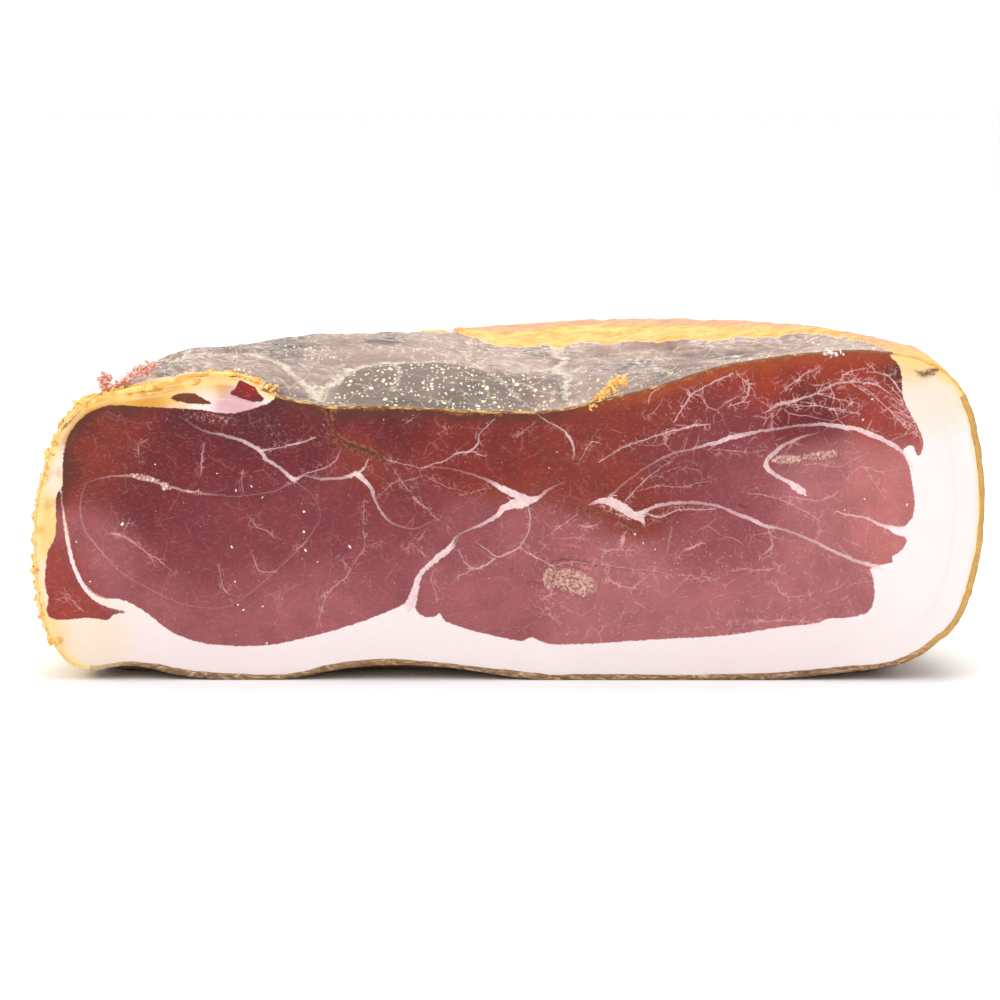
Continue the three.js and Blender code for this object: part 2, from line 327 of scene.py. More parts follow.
VEINS: list[Stroke] = [
    [(-112, 41.4, 0.4), (-110, 40.8, 1.3), (-107.5, 40.3, 1), (-101, 35.5, 0.5), (-97.5, 33.3, 0.5),
     (-94.5, 30.5, 0.3)],
    [(-108.4, 40.8, 0.5), (-106.2, 45, 0.4)],
    [(-101.5, 35.8, 0.4), (-99, 32, 0.3)],
    [(-85.3, 66, 0.5), (-86, 61, 0.8), (-86, 58.3, 0.4)],
    [(-101, 67.5, 0.3), (-103.4, 65.6, 0.5), (-103.2, 62.8, 0.3)],
    [(-74.6, 58.6, 0.4), (-75, 55.4, 0.4), (-74.4, 53, 0.3)],
    [(-41, 50, 0.3), (-41.2, 42, 0.4), (-41, 37.5, 0.7), (-43, 34, 0.5), (-45, 31.5, 0.5), (-45.8, 29, 0.5),
     (-50, 26, 0.6), (-51.6, 23.4, 0.5), (-52.7, 21, 0.6), (-54.7, 14, 0.3)],
    [(-41, 37.8, 0.4), (-37.4, 38.6, 0.3)],
    [(-44.6, 31.5, 0.3), (-47.4, 34, 0.2)],
    [(-50.4, 25.6, 0.3), (-54, 22.8, 0.2)],
    [(-72.3, 45, 0.3), (-70.8, 43, 0.4), (-68, 41.8, 0.4), (-66, 40, 0.2)],
    [(-72, 35, 0.3), (-70.3, 30.7, 0.5), (-65.5, 30.5, 0.3)],
    [(-81.5, 32, 0.3), (-79.8, 25, 0.4), (-77, 23.6, 0.2)],
    [(-60.4, 36.6, 0.4), (-57.4, 38.2, 0.4)],
    [(-124.6, 25.6, 0.2), (-121.6, 21.8, 0.4), (-119.4, 19.4, 0.2)],
    [(-127, 22.6, 0.2), (-123.6, 23.2, 0.4), (-120.6, 20.2, 0.3)],
    [(8.5, 23, 0.6), (12, 24.5, 0.5)],
    [(8.5, 23, 0.4), (9.6, 20.4, 0.3), (12.7, 17.3, 0.2)],
    [(25, 33, 0.5), (25.3, 35.5, 0.5), (29, 36.6, 0.4), (34, 36.4, 0.3)],
    [(25, 32.5, 0.4), (27, 28.5, 0.3), (32, 26.2, 0.3), (38, 25.2, 0.2)],
    [(12.5, 32.4, 0.5), (16, 33.2, 0.5), (24, 32.4, 0.4), (32, 31.5, 0.4), (41, 30.3, 0.3), (56, 29, 0.2)],
    [(36.5, 53.5, 0.3), (41, 54.6, 0.4), (47, 54.3, 0.3), (56, 56.5, 0.2)],
    [(41, 58, 0.3), (46, 59.6, 0.3), (52, 59, 0.2)],
    [(54.5, 64.8, 0.4), (60, 64.4, 0.4), (66, 64, 0.4), (70, 64.5, 0.3)],
    [(66, 52.5, 0.3), (70, 52, 0.5), (78, 49.3, 0.6), (85.5, 44.7, 0.4)],
    [(75, 51.8, 0.3), (84, 50.5, 0.6), (88, 51.4, 0.7), (92, 54, 0.3)],
    [(80, 60, 0.3), (85, 60.8, 0.4), (90, 60, 0.3), (97, 63, 0.2)],
    [(93, 57, 0.3), (97, 60, 0.4), (102, 58.5, 0.4), (107, 59.5, 0.3)],
    [(97.6, 59.8, 0.3), (100.4, 55.6, 0.4), (103.6, 51, 0.2)],
    [(73, 29, 0.3), (75, 24.3, 0.6), (79, 23.6, 0.5), (83.5, 24.3, 0.4)],
    [(71, 43, 0.6), (72.4, 38.5, 1), (71.4, 36.6, 0.8), (69, 35, 0.3)],
    [(60.5, 30.6, 0.3), (64, 31.2, 0.9), (69, 31, 0.7), (74, 31.6, 0.3)],
    [(46.5, 35.4, 0.3), (48.5, 36.8, 1.1), (52, 38.2, 0.7), (53.4, 39.4, 0.2)],
    [(30.6, 37.6, 0.4), (30.9, 39.6, 1.7), (31.4, 41.4, 0.3)],
    [(18.4, 43.6, 0.3), (21, 43.2, 1), (23.4, 43.8, 0.4)],
    [(-28, 38.6, 0.4), (-25, 35.8, 0.5), (-23, 34.4, 0.3)],
    [(-30, 36.6, 0.3), (-26.4, 38.8, 0.4), (-24.4, 41.4, 0.3)],
    [(61, 15.4, 0.3), (76, 17, 0.5), (86, 15.8, 0.3)],
    # Fine fibres that end at the fat, at the upper right.
    [(104, 82.4, 0.3), (106.6, 80, 0.6), (108.2, 78, 0.5)],
    [(103.5, 80.3, 0.3), (107, 77.3, 0.6), (109.7, 75.3, 0.6)],
    [(104, 78, 0.3), (108, 74.9, 0.6), (110.8, 73.1, 0.6)],
    [(104.6, 75.8, 0.3), (108.6, 72.9, 0.6), (111.8, 71, 0.6)],
    [(105.6, 73.8, 0.3), (109.6, 71.2, 0.5), (112.8, 69.5, 0.5)],
    [(107.4, 71.6, 0.2), (110.6, 69.6, 0.4), (113.2, 68, 0.4)],
    [(-14, 52, 0.3), (-10, 53, 0.7), (-7.4, 54, 0.3)],
    [(-24, 57.6, 0.4), (-19, 54.8, 0.3), (-12, 52.6, 0.3)],
    [(-36.5, 52, 0.4), (-33, 55.4, 0.3), (-29, 56, 0.3), (-25, 57.4, 0.3)],
    [(-33, 59.6, 0.4), (-28, 52, 0.3), (-20, 44.6, 0.2)],
    [(-31, 56, 0.3), (-24, 48.6, 0.3), (-17, 42.6, 0.2)],
    [(-29, 72, 0.3), (-26, 74.4, 0.3)],
    [(-20, 69.4, 0.4), (-17, 71, 0.3)],
]

# Fissures, where the muscles have parted in drying: x, z and width.
CRACKS: list[Stroke] = [
    [(-51, 76, 2.8), (-50.2, 72.5, 2), (-49.4, 69.4, 1.8), (-45.5, 66.2, 2.6), (-42, 64.9, 2.9),
     (-38, 63.4, 2.2), (-35.5, 62, 1.2), (-34, 60.4, 0.4)],
    [(-58, 76, 0.4), (-54.6, 70, 0.5), (-49, 65.6, 0.6), (-44.5, 62.6, 0.3)],
    [(8, 50.4, 0.3), (13, 49.8, 0.5), (17.5, 49, 0.8), (20, 47.8, 1), (25, 47, 0.9), (29, 46.4, 0.5),
     (31.4, 44.2, 0.5), (33, 42.6, 1.2), (35.6, 43, 0.5)],
    [(37.5, 46.2, 0.3), (42, 44.9, 0.6), (46.5, 47, 0.5), (52, 47.6, 0.3), (57, 47.6, 0.3)],
    [(10.5, 32.6, 0.4), (14, 33.9, 0.8), (19, 33.4, 0.7), (24, 32.2, 0.6), (30, 31.4, 0.3), (42, 29.9, 0.2)],
    [(-16.6, 37.6, 0.3), (-15.7, 38.6, 1), (-14.9, 40.6, 0.6), (-10, 42.4, 0.4)],
    [(3.6, 27.4, 0.3), (7, 27.2, 0.4), (9.4, 26.8, 0.2)],
    [(-125.4, 69.5, 0.6), (-122.4, 72.8, 1), (-119.4, 75.4, 0.5)],
    [(-123.6, 64.6, 0.3), (-122, 67.5, 0.5), (-120.8, 69.6, 0.2)],
    [(61, 49.8, 0.3), (64.6, 48.6, 0.8), (67, 47.8, 0.3)],
    [(111.5, 86.6, 0.4), (113.6, 85.6, 1.5), (116.4, 86.8, 1.7), (118.6, 87.6, 0.5)],
]


@dataclass(frozen=True)
class Patch:
    """An oval of crumbly or torn meat on the cut face, in millimetres, turned by degrees."""

    x: float
    z: float
    half_length: float
    half_height: float
    turn: float
    crumb: float
    depth: float


PATCHES = [
    Patch(17.5, 27.6, 7.6, 3.9, -18, 1, 1.3),
    Patch(10.6, 28.4, 2.2, 3.4, 0, 1.3, 0.5),
    Patch(76, 62, 5.4, 1.6, 2, 0.85, 0.4),
    Patch(83, 62.8, 4, 1.2, 14, 0.8, 0.2),
    Patch(86.5, 63.2, 5, 1.5, 10, 0.8, 0.2),
    Patch(-102, 56.8, 4.6, 0.9, -12, 1.3, -0.2),
    Patch(-96, 54.6, 2, 1, -30, 1.2, -0.3),
    Patch(-88, 52.8, 4, 0.6, -8, 0.7, 0),
    Patch(-26, 38.6, 6, 5.4, 30, 0.28, 0.15),
    Patch(10, 47.6, 5.4, 2.4, 0, 0.35, 0.2),
    Patch(88, 91.6, 3, 0.9, 8, 1, -0.3),
    Patch(29, 47.6, 7.5, 2.4, -26, 0.52, 0.15),
    Patch(2.4, 50.2, 4.4, 1.8, 8, 0.4, 0),
    Patch(-83, 73.2, 9, 2.2, -10, 0.44, 0.1),
    Patch(-66, 71, 7, 3.4, -25, 0.34, 0.1),
    Patch(-50, 69, 5.5, 2.6, -50, 0.4, 0.3),
]
# Small white crystals: x, z and size.
CRYSTALS: Stroke = [
    (-104.5, 57.3, 1), (-99.5, 56.3, 1.4), (-96.5, 53.7, 2), (-95.7, 54.4, 1.2), (-108.2, 43.8, 1.4),
    (-98.8, 60.5, 0.8), (-81.7, 58, 0.8), (-76.5, 53.2, 1), (-77.8, 37.3, 1.1), (-77, 27.6, 0.9),
    (-76.3, 21.2, 0.9), (-74.8, 19.7, 1), (-117.3, 27.6, 0.8), (-121, 38.8, 0.8), (-124.3, 65.5, 0.9),
    (-57.7, 47.3, 1.1), (-57.7, 41.7, 1.2), (-57.3, 36.5, 1.4), (-45, 37.5, 1.3), (-54, 33.2, 0.7),
    (-69.3, 20.7, 0.9), (-68.3, 10.3, 0.9), (-72.2, 54.4, 1), (-69.2, 51.3, 0.7), (97, 73, 1),
    (99.5, 78.8, 1), (97.8, 51, 0.9), (109.5, 49.3, 1.2), (92.3, 47.8, 0.8), (36.5, 38.5, 0.8),
    (86.2, 91.4, 1.6), (87.8, 91.7, 2.6), (89.4, 91.3, 2), (90.6, 91.9, 1.6), (86.8, 92.6, 1.4),
    (83.2, 94.2, 1.3), (81.6, 94.6, 0.9), (84.6, 93.8, 0.8), (91.4, 91.2, 1.1), (88.6, 92.5, 1.2),
    (34.2, 41, 0.9), (39.8, 36.8, 0.7), (-35.5, 73, 0.5), (12.5, 64, 0.6), (10.3, 59.5, 0.6),
]


# ---- curves and distances

FAR = 50.0  # millimetres: a distance that counts as nowhere near


def smooth_line(points: Sequence[Sequence[float]], step: float = 0.8, closed: bool = False) -> Array:
    """Runs a smooth curve through points, with every further column, such as a width, eased along it.

    Args:
        points: Rows of x, z and any further values.
        step: Roughly how far apart the curve's points lie.
        closed: Whether the curve returns to its first point.

    Returns:
        The curve's points, one row each.
    """
    knots = np.asarray(points, float)
    if closed:
        knots = np.vstack([knots[-1], knots, knots[0], knots[1]])
    else:
        knots = np.vstack([2 * knots[0] - knots[1], knots, 2 * knots[-1] - knots[-2]])
    rows: list[Array] = []
    for before, start, end, after in zip(knots, knots[1:], knots[2:], knots[3:]):
        reach = float(np.linalg.norm((end - start)[:2]))
        lead = min(1.0, reach / max(float(np.linalg.norm((start - before)[:2])), 1e-6))
        trail = min(1.0, reach / max(float(np.linalg.norm((after - end)[:2])), 1e-6))
        slope_in = (end - start + lead * (start - before)) / 2
        slope_out = (end - start + trail * (after - end)) / 2
        for share in np.linspace(0, 1, max(2, round(reach / step)), endpoint=False):
            square, cube = share**2, share**3
            rows.append(
                (2 * cube - 3 * square + 1) * start + (cube - 2 * square + share) * slope_in
                + (3 * square - 2 * cube) * end + (cube - square) * slope_out
            )
    if not closed:
        rows.append(knots[-2])
    return np.array(rows)


@dataclass
class Reach:
    """How a set of points lies to the nearest of some lines.

    Attributes:
        distance: Distance to the nearest line, in millimetres.
        side: The same distance, negative on the line's right-hand side.
        width: The line's width at the nearest place.
    """

    distance: Array
    side: Array
    width: Array


def reach_to(places: Array, lines: Iterable[Array], reach: float = 4.0) -> Reach:
    """Measures places against lines.

    Args:
        places: Rows of x and z.
        lines: Curves with rows of x, z and width.
        reach: Beyond this distance a place isn't measured and counts as FAR.
    """
    count = len(places)
    best = Reach(np.full(count, FAR), np.full(count, FAR), np.ones(count))
    for line in lines:
        low, high = line[:, :2].min(0) - reach, line[:, :2].max(0) + reach
        near = np.flatnonzero(((places >= low) & (places <= high)).all(1))
        starts, runs = line[:-1, :2], np.diff(line[:, :2], axis=0)
        lengths = (runs**2).sum(1) + 1e-12
        for chunk in np.array_split(near, max(1, len(near) * len(runs) // 2_000_000)):
            offsets = places[chunk][:, None] - starts[None]
            shares = np.clip((offsets * runs).sum(2) / lengths, 0, 1)
            gaps = offsets - shares[..., None] * runs
            distances = np.hypot(gaps[..., 0], gaps[..., 1])
            pick = distances.argmin(1)
            rows = np.arange(len(chunk))
            distance = distances[rows, pick]
            offset, run = offsets[rows, pick], runs[pick]
            turn = np.sign(run[:, 0] * offset[:, 1] - run[:, 1] * offset[:, 0])
            share = shares[rows, pick]
            width = line[pick, 2] * (1 - share) + line[pick + 1, 2] * share
            # A line wins where its edge, not its middle, is nearest.
            better = distance - width / 2 < best.distance[chunk] - best.width[chunk] / 2
            which = chunk[better]
            best.distance[which] = distance[better]
            best.side[which] = (distance * turn)[better]
            best.width[which] = width[better]
    return best


def depth_inside(places: Array, outline: Sequence[Point]) -> Array:
    """Gives how deep each place lies inside a closed outline, and less than 0 outside it."""
    curve = smooth_line(outline, 0.8, closed=True)
    ring = np.vstack([curve, curve[:1]])
    distance = reach_to(places, [np.column_stack([ring, np.zeros(len(ring))])], FAR * 8).distance
    inside = np.zeros(len(places), bool)
    for (x0, z0), (x1, z1) in zip(ring, ring[1:]):
        crosses = (z0 > places[:, 1]) != (z1 > places[:, 1])
        if crosses.any():
            inside ^= crosses & (places[:, 0] < x0 + (places[:, 1] - z0) * (x1 - x0) / (z1 - z0 or 1e-9))
    return np.where(inside, distance, -distance)


def ease(low: float, high: float, values: Array) -> Array:
    """Rises smoothly from 0 at low to 1 at high."""
    share = np.clip((values - low) / (high - low), 0, 1)
    return share * share * (3 - 2 * share)


def rough(places: Array, size: float, seed: float = 0.0, octaves: int = 3) -> Array:
    """Gives a cloudy value of about -1 to 1 at each place, with lumps of the given size."""
    flat = places.shape[1] < 3
    spots = np.column_stack([places, np.zeros(len(places))]) if flat else places
    return np.array([
        noise.fractal(Vector((x / size, y / size, z / size + seed)), 0.9, 2.1, octaves) for x, y, z in spots
    ])


def blend_spots(places: Array, spots: Sequence[Spot], gain: float, gloss: float) -> Array:
    """Blends the tones of spots over places, each by its nearness.

    Args:
        places: Rows of drawing x and z.
        spots: The spots.
        gain: What the tones are scaled by, for the strength of the light.
        gloss: What the surface's sheen adds on top, and so is left out of the tone.
    """
    weights = np.zeros(len(places))
    colours = np.zeros((len(places), 3))
    for spot in spots:
        square = ((places[:, 0] - spot.x) ** 2 + (places[:, 1] - spot.z) ** 2) / spot.reach**2
        weight = np.exp(-1.4 * square) + 1e-5 / (1 + square)
        weights += weight
        colours += weight[:, None] * np.array(spot.tone.value)
    return np.clip(colours / weights[:, None] * gain - gloss, 0.006, 1)


# ---- shader graphs


class Graph:
    """Adds nodes to one node tree, and answers with the socket that each puts out."""

    def __init__(self, tree: bpy.types.NodeTree) -> None:
        """Keeps the tree that the nodes go into."""
        self.tree = tree

    def node(self, kind: str, **settings: object) -> bpy.types.Node:
        """Adds a node of a kind such as ShaderNodeMath and sets its own settings."""
        made = self.tree.nodes.new(kind)
        for name, value in settings.items():
            setattr(made, name, value)
        return made

    def feed(self, socket: Socket, value: Optional[Value]) -> None:
        """Links a socket's source, or sets its value where a plain number or colour is given."""
        if value is None:
            return
        if isinstance(value, Socket):
            self.tree.links.new(value, socket)
        elif isinstance(value, (int, float)):
            grey = (value, value, value, 1.0)
            socket.default_value = grey if socket.type == "RGBA" else float(value)
        else:
            socket.default_value = (*value, 1.0) if socket.type == "RGBA" else tuple(value)

    def fill(self, made: bpy.types.Node, **values: Value) -> None:
        """Feeds a node's inputs by their names, with _ for a space."""
        for name, value in values.items():
            self.feed(made.inputs[name.replace("_", " ")], value)

    def sum_of(self, operation: str, *values: Value, clamp: bool = False) -> Socket:
        """Puts values through a Math node."""
        made = self.node("ShaderNodeMath", operation=operation, use_clamp=clamp)
        for socket, value in zip(made.inputs, values):
            self.feed(socket, value)
        return made.outputs[0]

    def times(self, first: Value, second: Value) -> Socket:
        """Multiplies two values."""
        return self.sum_of("MULTIPLY", first, second)

    def plus(self, first: Value, second: Value, clamp: bool = False) -> Socket:
        """Adds two values, and holds the sum between 0 and 1 if asked."""
        return self.sum_of("ADD", first, second, clamp=clamp)

    def minus(self, first: Value, second: Value) -> Socket:
        """Takes the second value from the first."""
        return self.sum_of("SUBTRACT", first, second)

    def rise(self, value: Value, low: Value, high: Value, start: float = 0, end: float = 1) -> Socket:
        """Eases from start, at low, to end, at high."""
        made = self.node("ShaderNodeMapRange", interpolation_type="SMOOTHSTEP")
        self.fill(made, Value=value, From_Min=low, From_Max=high, To_Min=start, To_Max=end)
        return made.outputs["Result"]

    def mix(self, share: Value, first: Value, second: Value, blend: str = "MIX") -> Socket:
        """Mixes two colours."""
        made = self.node("ShaderNodeMix", data_type="RGBA", blend_type=blend, clamp_factor=True)
        for socket, value in ((made.inputs[0], share), (made.inputs[6], first), (made.inputs[7], second)):
            self.feed(socket, value)
        return made.outputs[2]

    def shade(self, colour: Value, factor: Value) -> Socket:
        """Makes a colour lighter or darker by a factor."""
        made = self.node("ShaderNodeVectorMath", operation="SCALE")
        self.feed(made.inputs[0], colour)
        self.feed(made.inputs["Scale"], factor)
        return made.outputs[0]

    def places(self, scale: Rgb = (1000, 1000, 1000), turn: Rgb = (0, 0, 0)) -> Socket:
        """Gives the surface's own coordinates, in millimetres unless another scale is given."""
        coordinates = self.node("ShaderNodeTexCoord")
        mapping = self.node("ShaderNodeMapping")
        self.fill(mapping, Vector=coordinates.outputs["Object"], Scale=scale, Rotation=turn)
        return mapping.outputs[0]

    def cloud(self, where: Value, size: float, detail: float = 3.0, roughness: float = 0.55) -> Socket:
        """Gives noise of 0 to 1 with lumps of a size in millimetres."""
        made = self.node("ShaderNodeTexNoise")
        self.fill(made, Vector=where, Scale=1 / size, Detail=detail, Roughness=roughness)
        return made.outputs["Fac"]

    def warped(self, where: Value, size: float, amount: float) -> Socket:
        """Pushes coordinates about by noise, by up to amount millimetres."""
        made = self.node("ShaderNodeTexNoise")
        self.fill(made, Vector=where, Scale=1 / size, Detail=2.0)
        centred = self.node("ShaderNodeVectorMath", operation="SUBTRACT")
        self.feed(centred.inputs[0], made.outputs["Color"])
        self.feed(centred.inputs[1], (0.5, 0.5, 0.5))
        push = self.node("ShaderNodeVectorMath", operation="MULTIPLY_ADD")
        self.feed(push.inputs[0], centred.outputs[0])
        self.feed(push.inputs[1], (2 * amount, 2 * amount, 2 * amount))
        self.feed(push.inputs[2], where)
        return push.outputs[0]

    def cells(self, where: Value, size: float, feature: str = "F1", jitter: float = 1.0) -> Socket:
        """Gives the distance pattern of cells of a size in millimetres, in parts of that size."""
        made = self.node("ShaderNodeTexVoronoi", feature=feature)
        self.fill(made, Vector=where, Scale=1 / size, Randomness=jitter)
        return made.outputs["Distance"]

    def stored(self, name: str, colour: bool = False) -> Socket:
        """Reads a value, or a colour, that the mesh stores under a name."""
        made = self.node("ShaderNodeAttribute", attribute_name=name)
        return made.outputs["Color" if colour else "Fac"]

    def bump(self, height: Value, distance: float, strength: float, normal: Optional[Value] = None) -> Socket:
        """Turns a height of 0 to 1 into a normal, for relief of a distance in metres."""
        made = self.node("ShaderNodeBump")
        self.fill(made, Height=height, Distance=distance, Strength=strength, Normal=normal)
        return made.outputs[0]

    def effect(self, effect: "Effect", **values: Value) -> Socket:
        """Places a shared effect with its own values, whose names have _ for a space."""
        made = self.node("ShaderNodeGroup", node_tree=effect.tree)
        self.fill(made, **values)
        return made.outputs[0]


class Effect:
    """A shared shader effect, kept as a node group with named inputs and one output."""

    def __init__(self, name: str, inputs: dict[str, float], output: str) -> None:
        """Makes the group's tree and sockets.

        Args:
            name: The group's name.
            inputs: The number that each named input starts with.
            output: The name of what comes out.
        """
        self.tree = bpy.data.node_groups.new(name, "ShaderNodeTree")
        for label, value in inputs.items():
            socket = self.tree.interface.new_socket(label, in_out="INPUT", socket_type="NodeSocketFloat")
            socket.default_value = value
        self.tree.interface.new_socket(output, in_out="OUTPUT", socket_type="NodeSocketFloat")
        self.graph = Graph(self.tree)
        self.given = self.graph.node("NodeGroupInput").outputs
        self.taken = self.graph.node("NodeGroupOutput").inputs

    def put_out(self, value: Socket) -> "Effect":
        """Links the group's result, and returns the effect."""
        self.graph.feed(self.taken[0], value)
        return self


def make_line_effect() -> Effect:
    """Draws a soft, frayed line where a stored side distance passes through 0, fainter where it is narrow."""
    effect = Effect(
        "drawn_line",
        {
            "Side": 1.0, "Near": 9.0, "Width": 1.0, "Gain": 1.0,
            "Softness": 0.15, "Fray": 0.3, "Breaks": 0.0, "Faint": 0.4,
        },
        "Mask",
    )
    graph, given = effect.graph, effect.given
    where = graph.places()
    swing = graph.minus(graph.cloud(where, 0.9, 4, 0.65), 0.5)
    slow = graph.minus(graph.cloud(where, 3.2, 2), 0.5)
    half = graph.times(graph.times(given["Width"], given["Gain"]), 0.5)
    loose = graph.times(given["Fray"], graph.plus(0.7, graph.times(half, 0.8)))
    fray = graph.times(graph.plus(swing, slow), loose)
    side = graph.sum_of("ABSOLUTE", graph.plus(given["Side"], fray))
    inner = graph.minus(half, given["Softness"])
    outer = graph.plus(half, given["Softness"])
    line = graph.rise(side, inner, outer, 1.0, 0.0)
    near = graph.rise(given["Near"], graph.plus(half, 0.4), graph.plus(half, 1.0), 1.0, 0.0)
    gaps = graph.rise(graph.cloud(where, 4.5, 3), 0.36, 0.56)
    kept = graph.minus(1.0, graph.times(graph.minus(1.0, gaps), given["Breaks"]))
    strong = graph.rise(half, 0.1, 0.75)
    whole = graph.plus(given["Faint"], graph.times(strong, graph.minus(1.0, given["Faint"])))
    shown = graph.times(graph.times(line, near), kept)
    return effect.put_out(graph.times(shown, whole))


def make_speck_effect() -> Effect:
    """Scatters small soft specks, a share of all cells holding one, drawn out along the depth by a factor."""
    effect = Effect("fine_specks", {"Size": 1.5, "Fill": 0.3, "Amount": 0.5, "Length": 1.0}, "Mask")
    graph, given = effect.graph, effect.given
    squeeze = graph.node("ShaderNodeCombineXYZ")
    for socket, value in zip(squeeze.inputs, (1.0, graph.sum_of("DIVIDE", 1.0, given["Length"]), 1.0)):
        graph.feed(socket, value)
    where = graph.node("ShaderNodeVectorMath", operation="MULTIPLY")
    graph.feed(where.inputs[0], graph.warped(graph.places(), 3.0, 0.7))
    graph.feed(where.inputs[1], squeeze.outputs[0])
    cells = graph.node("ShaderNodeTexVoronoi")
    graph.feed(cells.inputs["Vector"], where.outputs[0])
    graph.feed(cells.inputs["Scale"], graph.sum_of("DIVIDE", 1.0, given["Size"]))
    rest = graph.node("ShaderNodeSeparateColor")
    graph.feed(rest.inputs[0], cells.outputs["Color"])
    own = graph.times(given["Fill"], graph.plus(0.4, graph.times(rest.outputs[1], 1.0)))
    uneven = graph.times(graph.minus(graph.cloud(graph.places(), 0.45, 3), 0.5), 0.34)
    away = graph.plus(cells.outputs["Distance"], uneven)
    dot = graph.rise(away, graph.times(own, 0.55), own, 1.0, 0.0)
    chosen = graph.sum_of("LESS_THAN", rest.outputs[0], given["Amount"])
    return effect.put_out(graph.times(dot, chosen))


def make_mottle_effect() -> Effect:
    """Gives an uneven lightness around 1, at a coarse and a fine size."""
    effect = Effect("mottle", {"Coarse": 9.0, "Fine": 1.4, "Spread": 0.2}, "Factor")
    graph, given = effect.graph, effect.given
    where = graph.places()
    total: Value = 0.0
    for label, weight in (("Coarse", 0.6), ("Fine", 0.4)):
        made = graph.node("ShaderNodeTexNoise")
        graph.fill(made, Vector=where, Scale=graph.sum_of("DIVIDE", 1.0, given[label]), Detail=4.0)
        centred = graph.minus(made.outputs["Fac"], 0.5)
        total = graph.plus(total, graph.times(centred, weight))
    swing = graph.times(total, graph.times(given["Spread"], 4.0))
    return effect.put_out(graph.plus(swing, 1.0))


@dataclass
class Effects:
    """The effects that several finishes share."""

    line: Effect = field(default_factory=make_line_effect)
    specks: Effect = field(default_factory=make_speck_effect)
    mottle: Effect = field(default_factory=make_mottle_effect)


def new_finish(name: str, roughness: float) -> tuple[bpy.types.Material, Graph, bpy.types.Node]:
    """Makes a material and returns it with its graph and its surface shader."""
    material = bpy.data.materials.new(name)
    material.use_nodes = True
    graph = Graph(material.node_tree)
    surface = material.node_tree.nodes["Principled BSDF"]
    surface.inputs["Roughness"].default_value = roughness
    return material, graph, surface


